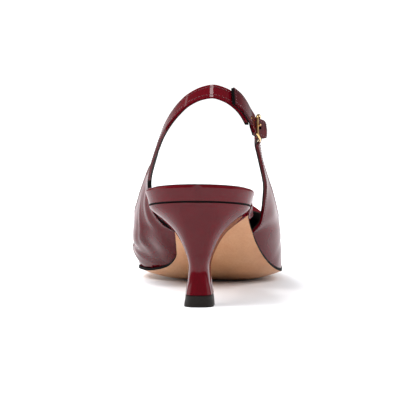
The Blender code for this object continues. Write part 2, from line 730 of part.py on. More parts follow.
def fold_rows():
    """The stub's end: over the front bar, round it and a little way back inside.

    Each row is its outer face's points, its wall and whether the prong's slot goes through.
    """
    round_bar = BUCKLE_WIRE / 2 + FIT_GAP + FOLD_WALL
    slot_end = round_bar + 0.5 * BUCKLE_WIRE
    rows = [(FOLD_REACH, round_bar * 0.66, (FOLD_WALL + UPPER_WALL) / 2, False),
            (slot_end, round_bar * 0.86, FOLD_WALL * 1.1, True)]
    for angle in range(90, 271, 30):
        turn = math.radians(angle)
        rows.append((round_bar * math.cos(turn), round_bar * math.sin(turn), FOLD_WALL, True))
    rows += [(slot_end, -round_bar * 0.95, FOLD_WALL, True),
             (FOLD_REACH, -round_bar * 0.86, FOLD_WALL * 0.8, False)]
    made = []
    for ahead, out, wall, slot in rows:
        points = [buckle_point(front_bar() + ahead, STRAP_WIDTH * (j / ACROSS - 0.5), out)
                  for j in range(ACROSS + 1)]
        made.append((points, wall, slot))
    return made


def upper(finish, collection):
    """Vamp, quarters, sling and buckle stub as one wall, open below, at the throat and behind."""
    throat = FOREPART[8].foot
    tip = 1 - (FEATHER_INSET + 0.02 * TOE_ROUND) / SHOE_LENGTH
    toe_start = 1 - 1.6 * TOE_ROUND / SHOE_LENGTH
    shares = [tip + (toe_start - tip) * (i / TOE_ROWS) ** 2 for i in range(TOE_ROWS)]
    shares += [toe_start + (throat - toe_start) * i / VAMP_ROWS for i in range(VAMP_ROWS + 1)]
    closed = []
    for share in shares:
        medial = forepart_row(share, -1)
        lateral = forepart_row(share, 1)
        closed.append(medial + list(reversed(lateral))[1:])
    open_shares = [throat + (FOREPART[0].foot - throat) * i / THROAT_ROWS
                   for i in range(1, THROAT_ROWS)]
    approach = [buckle_point(front_bar() + STUB_STRAIGHT, STRAP_WIDTH * across, -STUB_SET)
                for across in (-0.5, 0.5)]
    sling_sections = [strap_section(row) for row in SLING]
    stub_sections = [strap_section(row) for row in STUB] + [tuple(approach)]
    halves = {}
    for side, sections, count, end in ((-1, sling_sections, SLING_ROWS, []),
                                       (1, stub_sections, STUB_ROWS, fold_rows())):
        rows = [forepart_row(share, side) for share in open_shares]
        walls = [UPPER_WALL] * len(rows)
        drawn = quarter_and_strap(side, sections, QUARTER_ROWS, count)
        rows += drawn
        end_wall = SLING_WALL if side < 0 else UPPER_WALL
        walls += [UPPER_WALL + (end_wall - UPPER_WALL) * i / (len(drawn) - 1)
                  for i in range(len(drawn))]
        slots = [False] * len(rows)
        for points, wall, slot in end:
            rows.append(points)
            walls.append(wall)
            slots.append(slot)
        halves[side] = (rows, walls, slots)

    closed_normals = surface_normals(closed, 1)
    start = next(i for i, share in enumerate(shares)
                 if outline(share * SHOE_LENGTH)[1] > 2.2 * UPPER_WALL)

    mesh_data = bmesh.new()
    face = mesh_data.faces.new

    def put(points):
        return [mesh_data.verts.new(p) for p in points]

    def inner_points(points, normals, wall, on_sole):
        made = [p - n * wall for p, n in zip(points, normals)]
        for end in on_sole:
            flat = Vector((normals[end].x, normals[end].y, 0)).normalized()
            made[end] = points[end] - flat * wall
        return made

    outer = [put(row) for row in closed]
    inner = {i: put(inner_points(closed[i], closed_normals[i], UPPER_WALL, (0, -1)))
             for i in range(start, len(closed))}
    face(outer[0])
    for i in range(len(closed) - 1):
        for j in range(len(closed[0]) - 1):
            face((outer[i][j], outer[i][j + 1], outer[i + 1][j + 1], outer[i + 1][j]))
    for i in range(start, len(closed) - 1):
        for j in range(len(closed[0]) - 1):
            face((inner[i][j], inner[i + 1][j], inner[i + 1][j + 1], inner[i][j + 1]))
        face((outer[i][0], outer[i + 1][0], inner[i + 1][0], inner[i][0]))
        face((outer[i][-1], inner[i][-1], inner[i + 1][-1], outer[i + 1][-1]))
    for i in range(start - 1):
        face((outer[i][0], outer[i + 1][0], outer[i + 1][-1], outer[i][-1]))
    face((outer[start - 1][0], outer[start][0], inner[start][0], inner[start][-1],
          outer[start][-1], outer[start - 1][-1]))
    face(inner[start])

    for side, (rows, walls, slots) in halves.items():
        seam = closed[-1][:ACROSS + 1] if side < 0 else list(reversed(closed[-1][ACROSS:]))
        normals = surface_normals([seam] + rows, 1 if side < 0 else -1)
        ends = outer[-1][:ACROSS + 1] if side < 0 else list(reversed(outer[-1][ACROSS:]))
        outer_rows = [ends]
        last = inner[len(closed) - 1]
        inner_rows = [last[:ACROSS + 1] if side < 0 else list(reversed(last[ACROSS:]))]
        for i, row in enumerate(rows):
            outer_rows.append(put(row))
            on_sole = (0,) if i < THROAT_ROWS else ()
            inner_rows.append(put(inner_points(row, normals[i + 1], walls[i], on_sole)))
        skips = [False] + slots
        for i in range(len(outer_rows) - 1):
            a, b, c, d = outer_rows[i], outer_rows[i + 1], inner_rows[i], inner_rows[i + 1]
            slot = skips[i] and skips[i + 1]
            for j in range(ACROSS):
                if slot and j in FOLD_SLOT:
                    continue
                face((a[j], a[j + 1], b[j + 1], b[j]))
                face((c[j], d[j], d[j + 1], c[j + 1]))
            face((a[0], b[0], d[0], c[0]))
            face((a[-1], c[-1], d[-1], b[-1]))
            if slot:
                low, high = FOLD_SLOT[0], FOLD_SLOT[-1] + 1
                face((a[low], c[low], d[low], b[low]))
                face((a[high], b[high], d[high], c[high]))
            if (skips[i] and skips[i + 1]) != (i > 0 and skips[i - 1] and skips[i]):
                for j in FOLD_SLOT:
                    face((a[j], a[j + 1], c[j + 1], c[j]))
        for j in range(ACROSS):
            face((outer_rows[-1][j], outer_rows[-1][j + 1], inner_rows[-1][j + 1],
                  inner_rows[-1][j]))
    return finish_mesh("upper", mesh_data, finish, collection)


def buckle_strap(finish, collection):
    """Strap laid over the sling's end, through the buckle from inside and out over its fold."""
    half = BUCKLE_STRAP_THICKNESS / 2
    sections = [strap_section(row) for row in SLING]
    middles = [(foot + top) / 2 for foot, top in sections]
    lengths = [0.0]
    for a, b in zip(middles, middles[1:]):
        lengths.append(lengths[-1] + (b - a).length)
    sling_path = smooth_path(middles, lengths)
    sling_turn = smooth_path([(top - foot).normalized() for foot, top in sections], lengths)
    centres = []
    widths = []
    for i in range(5):
        mark = lengths[-1] - BUCKLE_STRAP_LAP * (1 - i / 4)
        along = sling_path(mark + 0.0003) - sling_path(mark - 0.0006)
        width = sling_turn(mark).normalized()
        normal = along.cross(width).normalized()
        centres.append(sling_path(mark) + normal * (FIT_GAP + half + 0.0001))
        widths.append(width)
    bar = front_bar()
    under = -(BUCKLE_WIRE / 2 + FIT_GAP + half)
    over = BUCKLE_WIRE / 2 + 2 * FIT_GAP + FOLD_WALL + half + 0.0001
    across = (buckle_point(0, 1, 0) - buckle_point(0, 0, 0)).normalized()
    for ahead, out in ((-bar - BUCKLE_WIRE, under * 1.02), (-bar * 0.85, under),
                       (0.0, (under + over) / 2), (bar * 0.85, over),
                       (bar + BUCKLE_STRAP_TIP * 0.5, over + BUCKLE_STRAP_TIP_RISE * 0.6),
                       (bar + BUCKLE_STRAP_TIP, over + BUCKLE_STRAP_TIP_RISE)):
        centres.append(buckle_point(ahead, 0, out))
        widths.append(across)
    lengths = [0.0]
    for a, b in zip(centres, centres[1:]):
        lengths.append(lengths[-1] + (b - a).length)
    path = smooth_path(centres, lengths)
    turn = smooth_path(widths, lengths)
    hole_centre = lengths[-4] + HOLE_LENGTH * 0.1
    marks = [lengths[-1] * i / 26 for i in range(24)]
    marks = [m for m in marks if abs(m - hole_centre) > HOLE_LENGTH * 0.6]
    marks += [hole_centre - HOLE_LENGTH / 2, hole_centre, hole_centre + HOLE_LENGTH / 2]
    marks += [lengths[-1] - BUCKLE_STRAP_ROUND * t for t in (0.9, 0.5, 0.2, 0)]
    marks.sort()
    hole = HOLE_WIDTH / BUCKLE_STRAP_WIDTH / 2
    columns = (-0.5, -0.3, -hole, hole, 0.3, 0.5)
    mesh_data = bmesh.new()
    face = mesh_data.faces.new
    rows = []
    for mark in marks:
        step = 0.0004
        along = (path(mark + step) - path(mark - step)).normalized()
        width = turn(mark)
        width = (width - along * width.dot(along)).normalized()
        normal = along.cross(width)
        left = lengths[-1] - mark
        share = 1.0
        if left < BUCKLE_STRAP_ROUND:
            close = 1 - left / BUCKLE_STRAP_ROUND
            share = 0.42 + 0.58 * math.sqrt(max(0.0, 1 - close * close))
        points = [path(mark) + width * (BUCKLE_STRAP_WIDTH * share * u) for u in columns]
        rows.append(([mesh_data.verts.new(p + normal * half) for p in points],
                     [mesh_data.verts.new(p - normal * half) for p in points], mark))
    middle = len(columns) // 2 - 1
    for i in range(len(rows) - 1):
        (a, c, start), (b, d, end) = rows[i], rows[i + 1]
        open_cell = abs((start + end) / 2 - hole_centre) < HOLE_LENGTH / 2
        for j in range(len(columns) - 1):
            if open_cell and j == middle:
                face((a[j], c[j], d[j], b[j]))
                face((a[j + 1], b[j + 1], d[j + 1], c[j + 1]))
                continue
            face((a[j], b[j], b[j + 1], a[j + 1]))
            face((c[j], c[j + 1], d[j + 1], d[j]))
        face((a[0], c[0], d[0], b[0]))
        face((a[-1], b[-1], d[-1], c[-1]))
        before = i > 0 and abs((rows[i - 1][2] + start) / 2 - hole_centre) < HOLE_LENGTH / 2
        if open_cell != before:
            face((a[middle], a[middle + 1], c[middle + 1], c[middle]))
    for a, c, _ in (rows[0], rows[-1]):
        for j in range(len(columns) - 1):
            face((a[j], a[j + 1], c[j + 1], c[j]))
    return finish_mesh("buckle_strap", mesh_data, finish, collection)


def wire(name, points, radius, closed, finish, collection):
    """A round wire along points, in a ring or with flat ends."""
    count = len(points)
    rings = []
    normal = Vector((0.3, 0.2, 0.9))
    for i, point in enumerate(points):
        if closed:
            along = (points[(i + 1) % count] - points[i - 1]).normalized()
        else:
            along = (points[min(i + 1, count - 1)] - points[max(i - 1, 0)]).normalized()
        normal = (normal - along * normal.dot(along)).normalized()
        side = along.cross(normal)
        rings.append([point + (normal * math.cos(a) + side * math.sin(a)) * radius
                      for a in (2 * math.pi * k / 8 for k in range(8))])
    if not closed:
        return loft(name, rings, finish, collection)
    mesh_data = bmesh.new()
    rows = [[mesh_data.verts.new(p) for p in ring] for ring in rings]
    for i in range(count):
        low = rows[i]
        high = rows[(i + 1) % count]
        if i == count - 1:
            turn = min(range(8), key=lambda k: (high[k].co - low[0].co).length)
            high = high[turn:] + high[:turn]
        for k in range(8):
            m = (k + 1) % 8
            mesh_data.faces.new((low[k], low[m], high[m], high[k]))
    return finish_mesh(name, mesh_data, finish, collection)


def buckle_frame(finish, collection):
    """Round wire bent to a rectangle, its sides bowed outwards over the strap."""
    bar = front_bar()
    height = (BUCKLE_HEIGHT - BUCKLE_WIRE) / 2
    corner = BUCKLE_CORNER - BUCKLE_WIRE / 2
    outline_points = []
    for quarter in range(4):
        centre_a = (bar - corner) * (1 if quarter in (0, 3) else -1)
        centre_b = (height - corner) * (1 if quarter in (0, 1) else -1)
        for k in range(5):
            turn = math.radians(90 * quarter + 22.5 * k)
            outline_points.append((centre_a + corner * math.cos(turn),
                                   centre_b + corner * math.sin(turn)))
        if quarter in (0, 2):
            outline_points.append((0.0, height if quarter == 0 else -height))
        else:
            side = -bar if quarter == 1 else bar
            outline_points += [(side, s * (height - corner) * 0.5)
                               for s in ((1, 0, -1) if quarter == 1 else (-1, 0, 1))]
    points = [buckle_point(a, b, BUCKLE_BOW * (1 - (a / bar) ** 2)) for a, b in outline_points]
    return wire("buckle_frame", points, BUCKLE_WIRE / 2, True, finish, collection)


def buckle_prong(finish, collection):
    """Prong that hooks round the front bar and rests over the rear one."""
    radius = BUCKLE_WIRE / 2 + FIT_GAP + PRONG_WIRE / 2
    bar = front_bar()
    points = []
    for angle in range(-105, 166, 27):
        turn = math.radians(angle)
        points.append((bar + radius * math.cos(turn), radius * math.sin(turn)))
    points = [(a, -n) for a, n in points]
    rest = BUCKLE_WIRE / 2 + FIT_GAP + PRONG_WIRE / 2
    start_a, start_n = points[-1]
    end_a = -bar - PRONG_REACH
    points += [(start_a + (end_a - start_a) * t, start_n + (rest - start_n) * t)
               for t in (0.12, 0.4, 0.7, 1.0)]
    return wire("buckle_prong", [buckle_point(a, 0, n) for a, n in points], PRONG_WIRE / 2,
                False, finish, collection)


def main():
    shoe = clear("slingback_pump", bpy.context.scene.collection)
    patent = material("patent_leather", (0.105, 0.006, 0.012), 0.12)
    sole_leather = material("sole_leather", (0.53, 0.29, 0.15), 0.45)
    rubber = material("rubber", (0.02, 0.02, 0.02), 0.6)
    gold = material("gold_plated_metal", (0.83, 0.62, 0.34), 0.22, 1.0)
    outsole(sole_leather, shoe)
    insole(patent, shoe)
    heel(patent, shoe)
    top_piece(rubber, shoe)
    upper(patent, shoe)
    buckle_strap(patent, shoe)
    buckle_frame(gold, shoe)
    buckle_prong(gold, shoe)


main()
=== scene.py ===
"""A right slingback pump in burgundy patent leather, seen from behind as it stands on a floor."""

import math
from collections import namedtuple

import bmesh
import bpy
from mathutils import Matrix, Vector


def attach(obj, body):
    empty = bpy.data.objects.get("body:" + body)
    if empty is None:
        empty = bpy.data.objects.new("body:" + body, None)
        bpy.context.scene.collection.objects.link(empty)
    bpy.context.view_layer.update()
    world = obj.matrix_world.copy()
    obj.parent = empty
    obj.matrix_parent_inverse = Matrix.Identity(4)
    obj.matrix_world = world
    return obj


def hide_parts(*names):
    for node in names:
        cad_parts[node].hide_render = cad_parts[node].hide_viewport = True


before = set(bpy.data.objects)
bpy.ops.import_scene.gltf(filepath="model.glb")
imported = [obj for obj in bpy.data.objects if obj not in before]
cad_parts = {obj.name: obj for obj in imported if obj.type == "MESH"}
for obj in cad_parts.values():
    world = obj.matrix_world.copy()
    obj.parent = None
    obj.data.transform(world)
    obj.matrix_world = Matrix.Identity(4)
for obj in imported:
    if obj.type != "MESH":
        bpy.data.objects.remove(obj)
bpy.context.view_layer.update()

# The outsole is cut from vegetable-tanned leather, skived thin under the heel seat and 3.5 mm
# thick under the ball. Its edge is trimmed square and inked black, and so is its top. The seat
# that the heel hides is black too, partly ink and partly painted shade in the thin gap between the
# insole's rim and the heel. The rest of its face is left tan.

SHOE_LENGTH = 0.248
BALL_WIDTH = 0.0806
WAIST_WIDTH = 0.0410
SEAT_WIDTH = 0.0518
SEAT_ROUND = 0.0270
TOE_ROUND = 0.0060
HEEL_HEIGHT = 0.0548
TOE_SPRING = 0.0070
OUTSOLE_THICKNESS = 0.0035
SEAT_SKIVE = 0.0010
EDGE_LIFT = 0.0027
EDGE_FACE = 0.0014
TREAD_FLAT_SHARE = 0.35
TREAD_CENTRE = 0.0174
INK_AND_SHADE_SEAT_SHARE = 0.18
FACES_UP = 0.3

TAN = "#c08960"
TAN_DARK = "#b0764b"
TAN_PALE = "#cc9b72"
INK_AND_SHADE_BLACK = "#0c0b0b"


def table(columns, *rows):
    """Rows of numbers under named columns, of which the first runs along the piece."""
    row_of = namedtuple("Row", columns)
    return tuple(row_of(*row) for row in rows)


OUTLINE = table(
    "station medial lateral",
    (0.000, 0.500 * SEAT_WIDTH, 0.500 * SEAT_WIDTH),
    (0.115, 0.500 * SEAT_WIDTH, 0.500 * SEAT_WIDTH),
    (0.210, 0.463 * SEAT_WIDTH, 0.472 * SEAT_WIDTH),
    (0.300, 0.480 * WAIST_WIDTH, 0.566 * WAIST_WIDTH),
    (0.385, 0.392 * WAIST_WIDTH, 0.612 * WAIST_WIDTH),
    (0.460, 0.398 * WAIST_WIDTH, 0.705 * WAIST_WIDTH),
    (0.525, 0.262 * BALL_WIDTH, 0.418 * BALL_WIDTH),
    (0.570, 0.360 * BALL_WIDTH, 0.462 * BALL_WIDTH),
    (0.615, 0.448 * BALL_WIDTH, 0.482 * BALL_WIDTH),
    (0.670, 0.492 * BALL_WIDTH, 0.476 * BALL_WIDTH),
    (0.725, 0.484 * BALL_WIDTH, 0.438 * BALL_WIDTH),
    (0.785, 0.442 * BALL_WIDTH, 0.362 * BALL_WIDTH),
    (0.850, 0.366 * BALL_WIDTH, 0.260 * BALL_WIDTH),
    (0.910, 0.276 * BALL_WIDTH, 0.150 * BALL_WIDTH),
    (0.965, 0.182 * BALL_WIDTH, 0.040 * BALL_WIDTH),
    (1.000, 0.118 * BALL_WIDTH, -0.036 * BALL_WIDTH),
)
PROFILE = table(
    "station heel_height toe_spring",
    (0.000, 1.000, 0), (0.100, 0.925, 0), (0.200, 0.848, 0),
    (0.250, 0.790, 0), (0.300, 0.702, 0), (0.370, 0.524, 0),
    (0.420, 0.372, 0), (0.475, 0.217, 0), (0.525, 0.096, 0),
    (0.565, 0.030, 0), (0.595, 0.005, 0), (0.620, 0.000, 0),
    (0.720, 0.000, 0), (0.800, 0.000, 0.12),
    (0.900, 0.000, 0.50), (1.000, 0.000, 1.00),
)
SOLE = table(
    "station skive thickness edge_lift",
    (0.000, 1.00, 0.00, 0.00), (0.190, 1.00, 0.00, 0.00),
    (0.270, 0.00, 0.60, 0.12), (0.420, 0.00, 0.92, 0.45),
    (0.525, 0.00, 1.00, 0.80), (0.600, 0.00, 1.00, 1.00),
    (0.750, 0.00, 1.00, 1.00), (0.900, 0.00, 0.92, 0.70),
    (1.000, 0.00, 0.85, 0.40),
)


def slopes_of(xs, ys, steady):
    """Slopes of a smooth curve, which stays between its rows' values when steady."""
    steps = [b - a for a, b in zip(xs, xs[1:])]
    rates = [(b - a) / step for a, b, step in zip(ys, ys[1:], steps)]
    slopes = [rates[0]]
    for i in range(1, len(rates)):
        h0, h1, r0, r1 = steps[i - 1], steps[i], rates[i - 1], rates[i]
        if not steady:
            slopes.append((r0 * h1 + r1 * h0) / (h0 + h1))
        elif r0 * r1 <= 0:
            slopes.append(0.0)
        else:
            slopes.append(3 * (h0 + h1) / ((2 * h1 + h0) / r0 + (h1 + 2 * h0) / r1))
    return slopes + [rates[-1]]


def curve(rows, column, steady=True):
    """A smooth curve through a table's column, over its first column."""
    xs = [row[0] for row in rows]
    ys = [getattr(row, column) for row in rows]
    slopes = slopes_of(xs, ys, steady)

    def at(x):
        x = min(max(x, xs[0]), xs[-1])
        i = max(k for k in range(len(xs) - 1) if xs[k] <= x)
        step = xs[i + 1] - xs[i]
        t = (x - xs[i]) / step
        return ((1 + 2 * t) * (1 - t) ** 2 * ys[i] + t * (1 - t) ** 2 * step * slopes[i]
                + t * t * (3 - 2 * t) * ys[i + 1] - t * t * (1 - t) * step * slopes[i + 1])

    return at


medial_edge = curve(OUTLINE, "medial")
lateral_edge = curve(OUTLINE, "lateral")
underside_heel = curve(PROFILE, "heel_height")
underside_toe = curve(PROFILE, "toe_spring")
skive_share = curve(SOLE, "skive")
thickness_share = curve(SOLE, "thickness")
lift_share = curve(SOLE, "edge_lift")


def place(x, station, height):
    """A point of the shoe. A station is a distance forward of the seat's back edge."""
    return Vector((x, station - TREAD_CENTRE, height))


def outline(station, offset=0.0):
    """Middle and half width of the sole's outline, grown by offset all round."""
    share = station / SHOE_LENGTH
    medial = medial_edge(share)
    lateral = lateral_edge(share)
    half = (medial + lateral) / 2 + offset
    back = (station + offset) / (SEAT_ROUND + offset)
    if back < 1:
        half *= math.sqrt(max(0.0, 1 - (1 - back) ** 2))
    front = (SHOE_LENGTH + offset - station) / (TOE_ROUND + max(offset, -TOE_ROUND / 2))
    if front < 1:
        half *= math.sqrt(max(0.0, 1 - (1 - front) ** 2))
    return (lateral - medial) / 2, max(half, 0.0)


def underside(station):
    """Height of the sole's underside, down from the heel and up again to the toe."""
    share = station / SHOE_LENGTH
    return HEEL_HEIGHT * underside_heel(share) + TOE_SPRING * underside_toe(share)


def sole_thickness(station):
    """Thickness of the outsole, skived at the seat and full at the ball."""
    share = station / SHOE_LENGTH
    return SEAT_SKIVE * skive_share(share) + OUTSOLE_THICKNESS * thickness_share(share)


def sole_top(station, across=1.0):
    """Height of the outsole's top, from its middle at 0 across to its lifted edge at 1."""
    lift = EDGE_LIFT * lift_share(station / SHOE_LENGTH)
    return underside(station) + sole_thickness(station) + lift * across * across


def stations(start, end, count, ending=""):
    """Stations that crowd towards a round back or front end, none of them quite on it."""
    made = []
    for i in range(count + 1):
        t = i / count
        if ending == "back":
            t = 1 - math.cos(math.pi / 2 * (0.02 + 0.98 * t))
        elif ending == "front":
            t = math.sin(math.pi / 2 * 0.98 * t)
        made.append(start + (end - start) * t)
    return made


def shown(name, data):
    """An object of the scene, from a mesh, curve, light or camera."""
    made = bpy.data.objects.new(name, data)
    bpy.context.scene.collection.objects.link(made)
    return made


def skin(name, rings, materials, paint=None, sharp=42):
    """A closed solid through rings of points. paint gives each face's material number."""
    shape = bmesh.new()
    rows = [[shape.verts.new(point) for point in ring] for ring in rings]
    count = len(rings[0])
    for i, (low, high) in enumerate(zip(rows, rows[1:])):
        for j in range(count):
            k = (j + 1) % count
            side = shape.faces.new((low[j], low[k], high[k], high[j]))
            side.material_index = paint(i, j) if paint else 0
    for i, row in ((0, rows[0]), (len(rows) - 2, rows[-1])):
        shape.faces.new(row).material_index = paint(i, 0) if paint else 0
    return finished(name, shape, materials, sharp)


def finished(name, shape, materials, sharp=42):
    """An object from a bmesh, its faces pointing out and smooth but for its sharp edges."""
    bmesh.ops.recalc_face_normals(shape, faces=shape.faces)
    mesh = bpy.data.meshes.new(name)
    shape.to_mesh(mesh)
    shape.free()
    for finish in materials:
        mesh.materials.append(finish)
    mesh.shade_smooth()
    mesh.set_sharp_from_angle(angle=math.radians(sharp))
    return shown(name, mesh)


def round_edges(made, width, segments=3, angle=40, finish=-1):
    """A small round on every sharper edge, in its own material or in the one numbered finish."""
    bevel = made.modifiers.new("round_edges", "BEVEL")
    bevel.width = width
    bevel.segments = segments
    bevel.limit_method = "ANGLE"
    bevel.angle_limit = math.radians(angle)
    bevel.material = finish


def linear(code):
    """A colour for a shader from its sRGB hex code."""
    channels = [int(code[i:i + 2], 16) / 255 for i in (1, 3, 5)]
    return (*(c / 12.92 if c <= 0.04045 else ((c + 0.055) / 1.055) ** 2.4 for c in channels), 1.0)


def node(tree, kind, settings=None, **links):
    """A node with its settings, and values or links into sockets by name, or by number as _6."""
    made = tree.nodes.new(kind)
    for name, value in (settings or {}).items():
        setattr(made, name, value)
    for name, value in links.items():
        socket = made.inputs[int(name[1:])] if name[1:].isdigit() else (
            made.inputs[name.replace("_", " ")])
        if isinstance(value, bpy.types.NodeSocket):
            tree.links.new(value, socket)
        else:
            socket.default_value = value
    return made


def surface(name, **sockets):
    """A material with its Principled shader's own sockets set, its tree and its coordinates."""
    made = bpy.data.materials.new(name)
    made.use_nodes = True
    shader = made.node_tree.nodes["Principled BSDF"]
    for socket, value in sockets.items():
        shader.inputs[socket.replace("_", " ")].default_value = value
    where = made.node_tree.nodes.new("ShaderNodeTexCoord").outputs["Object"]
    return made, made.node_tree, shader, where


# Vegetable-tanned sole leather, rolled and glazed: a close grain with faint clouds, pores 0.4 mm
# wide and a low even shine.
sole_leather, tree, shader, where = surface("vegetable_tanned_sole_leather", Roughness=0.42,
                                            Coat_Weight=0.12, Coat_Roughness=0.28)
clouds = node(tree, "ShaderNodeTexNoise", Vector=where, Scale=55.0, Detail=5.0, Roughness=0.55)
fibres = node(tree, "ShaderNodeTexNoise", Vector=node(
    tree, "ShaderNodeMapping", Vector=where, Scale=(1.0, 0.22, 1.0)).outputs[0],
    Scale=900.0, Detail=4.0, Roughness=0.6)
pores = node(tree, "ShaderNodeTexVoronoi", Vector=where, Scale=2600.0)
spread = node(tree, "ShaderNodeMapRange", Value=clouds.outputs[0], From_Min=0.32, From_Max=0.68)
streaks = node(tree, "ShaderNodeMapRange", Value=fibres.outputs[0], From_Min=0.35, From_Max=0.72,
               To_Max=0.45)
warm = node(tree, "ShaderNodeMix", {"data_type": "RGBA"}, Factor=spread.outputs[0],
            _6=linear(TAN), _7=linear(TAN_PALE))
toned = node(tree, "ShaderNodeMix", {"data_type": "RGBA"}, Factor=streaks.outputs[0],
             _6=warm.outputs[2], _7=linear(TAN_DARK))
tree.links.new(toned.outputs[2], shader.inputs["Base Color"])
low_bump = node(tree, "ShaderNodeBump", Strength=0.12, Distance=0.0002, Height=pores.outputs[0])
bump = node(tree, "ShaderNodeBump", Strength=0.18, Distance=0.0003, Height=fibres.outputs[0],
            Normal=low_bump.outputs[0])
tree.links.new(bump.outputs[0], shader.inputs["Normal"])

# Edge ink, a thin coat of black wax dye that is brushed on and burnished. On the heel's edges and
# the outsole's seat, the same black is partly painted shade.
edge_ink_and_shade, tree, shader, where = surface("burnished_edge_ink_and_painted_shade", Base_Color=linear(INK_AND_SHADE_BLACK),
                                        Roughness=0.6, Specular_IOR_Level=0.03)
brushed = node(tree, "ShaderNodeTexNoise", Vector=where, Scale=1400.0, Detail=3.0)
bump = node(tree, "ShaderNodeBump", Strength=0.25, Distance=0.0002, Height=brushed.outputs[0])
tree.links.new(bump.outputs[0], shader.inputs["Normal"])

OUTSOLE_ACROSS = 40
rings = []
for s in (stations(0, SEAT_ROUND, 20, "back")
          + stations(SEAT_ROUND, SHOE_LENGTH - 2 * TOE_ROUND, 130)[1:]
          + stations(SHOE_LENGTH - 2 * TOE_ROUND, SHOE_LENGTH, 16, "front")[1:]):
    middle, half = outline(s)
    thick = sole_thickness(s)
    low_edge = sole_top(s) - min(EDGE_FACE, thick * 0.9)
    shares = [math.sin(math.pi / 2 * (-1 + 2 * i / OUTSOLE_ACROSS))
              for i in range(OUTSOLE_ACROSS + 1)]
    ring = [place(middle + half * u, s, sole_top(s, u)) for u in shares]
    for u in reversed(shares):
        ramp = max(0.0, (abs(u) - TREAD_FLAT_SHARE) / (1 - TREAD_FLAT_SHARE)) ** 2
        ring.append(place(middle + half * u, s, underside(s) + (low_edge - underside(s)) * ramp))
    rings.append(ring)
outsole = skin("outsole_leather", rings, [sole_leather, edge_ink_and_shade],
               lambda i, j: 1 if j in (OUTSOLE_ACROSS, 2 * OUTSOLE_ACROSS + 1) else 0)
# Caps and top faces are inked; the seat's black is partly ink and partly painted shade under the
# rim.
for polygon in outsole.data.polygons:
    if (len(polygon.vertices) > 4 or polygon.normal.z > FACES_UP
            or polygon.center.y < INK_AND_SHADE_SEAT_SHARE * SHOE_LENGTH - TREAD_CENTRE):
        polygon.material_index = 1
round_edges(outsole, 0.0003, 2, 50)
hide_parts("outsole")
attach(outsole, "root")

# The insole is a board that is wrapped in patent leather where its rim shows under the open
# back. The cover is skived, drawn round the edge and cemented. So the rim's top edge is rolled,
# and its lower edge hangs a little over the outsole's.

RIM_THICKNESS = 0.0076
INSOLE_THICKNESS = 0.0022
RIM_OVERHANG = 0.0024
RIM_ROUND = 0.0016
RIM_LIP = 0.0006
SEAT_DISH = 0.0010
INSOLE_DRAFT = 0.0006
TOE_CLEARANCE = 0.0075
UPPER_WALL = 0.0021
FEATHER_INSET = 0.0004
FIT_GAP = 0.0003

BURGUNDY = "#4e030d"
BURGUNDY_DEEP = "#49030c"

INSOLE = table(
    "station rim_thickness insole_thickness overhang inside",
    (0.000, 1.00, 0, 0.80, 0.00), (0.200, 0.97, 0, 0.80, 0.00),
    (0.260, 0.80, 0, 0.95, 0.00), (0.320, 0.50, 0, 1.00, 0.00),
    (0.345, 0, 1.50, 0.60, 0.40), (0.375, 0, 1.00, 0.00, 1.00),
    (0.660, 0, 1.00, 0.00, 1.00), (0.780, 0, 1.00, 0.00, 1.35),
    (1.000, 0, 1.00, 0.00, 1.60),
)
rim_share = curve(INSOLE, "rim_thickness")
board_share = curve(INSOLE, "insole_thickness")
overhang_share = curve(INSOLE, "overhang")
inside_share = curve(INSOLE, "inside")
INSOLE_PLACES = (stations(0, 0.11, 22, "back") + stations(0.11, 0.32, 30)[1:]
                 + stations(0.32, 0.40, 22)[1:] + stations(0.40, 0.95, 48)[1:]
                 + stations(0.95, 1, 12, "front")[1:])


def insole_edge(share, level, inset=0.0):
    """Station, middle and half width of the insole's edge at a share of its thickness."""
    clearance = FEATHER_INSET + UPPER_WALL + FIT_GAP
    offset = (RIM_OVERHANG * overhang_share(share) * level
              - (clearance + INSOLE_DRAFT * level) * inside_share(share))
    shift = RIM_OVERHANG * INSOLE[0].overhang * level * (1 - share)
    station = share * SHOE_LENGTH - shift - TOE_CLEARANCE * share ** 3 + inset * (1 - 2 * share)
    return station, *outline(station, offset - inset)


def insole_thickness(share):
    """Thickness of the insole: the high rim at the back and a thin board in the upper."""
    return RIM_THICKNESS * rim_share(share) + INSOLE_THICKNESS * board_share(share)


def clouded(tree, shader, where, scale, detail, span, colours):
    """Base colour that a noise turns from one hex colour to another. Gives the noise."""
    noise = node(tree, "ShaderNodeTexNoise", Vector=where, Scale=scale, Detail=detail).outputs[0]
    share = node(tree, "ShaderNodeMapRange", Value=noise, From_Min=span[0], From_Max=span[1])
    mixed = node(tree, "ShaderNodeMix", {"data_type": "RGBA"}, Factor=share.outputs[0],
                 _6=linear(colours[0]), _7=linear(colours[1]))
    tree.links.new(mixed.outputs[2], shader.inputs["Base Color"])
    return noise


def patent_leather(name, colour, depth, ripple, ripple_size):
    """Patent leather, whose surface ripples by so much at so many metres."""
    made, tree, shader, where = surface(name, Roughness=0.5, Specular_IOR_Level=0.0,
                                        Coat_Weight=0.56, Coat_Roughness=0.03, Coat_IOR=1.42)
    clouded(tree, shader, where, 140.0, 4.0, (0.35, 0.7), (colour, depth))
    peel = node(tree, "ShaderNodeTexNoise", Vector=where, Scale=1 / ripple_size, Detail=2.0,
                Roughness=0.4)
    broad = node(tree, "ShaderNodeTexNoise", Vector=where, Scale=0.35 / ripple_size, Detail=1.0)
    low = node(tree, "ShaderNodeBump", Strength=ripple, Distance=0.0006, Height=broad.outputs[0])
    bump = node(tree, "ShaderNodeBump", Strength=ripple, Distance=0.0002, Height=peel.outputs[0],
                Normal=low.outputs[0])
    tree.links.new(bump.outputs[0], shader.inputs["Normal"])
    tree.links.new(bump.outputs[0], shader.inputs["Coat Normal"])
    return made


# Patent leather: calf leather under a thick clear lacquer, mirror-smooth over deep colour, with a
# very faint ripple about 10 mm wide where the leather shows through.
patent = patent_leather("burgundy_patent_leather", BURGUNDY, BURGUNDY_DEEP, 0.02, 0.0100)

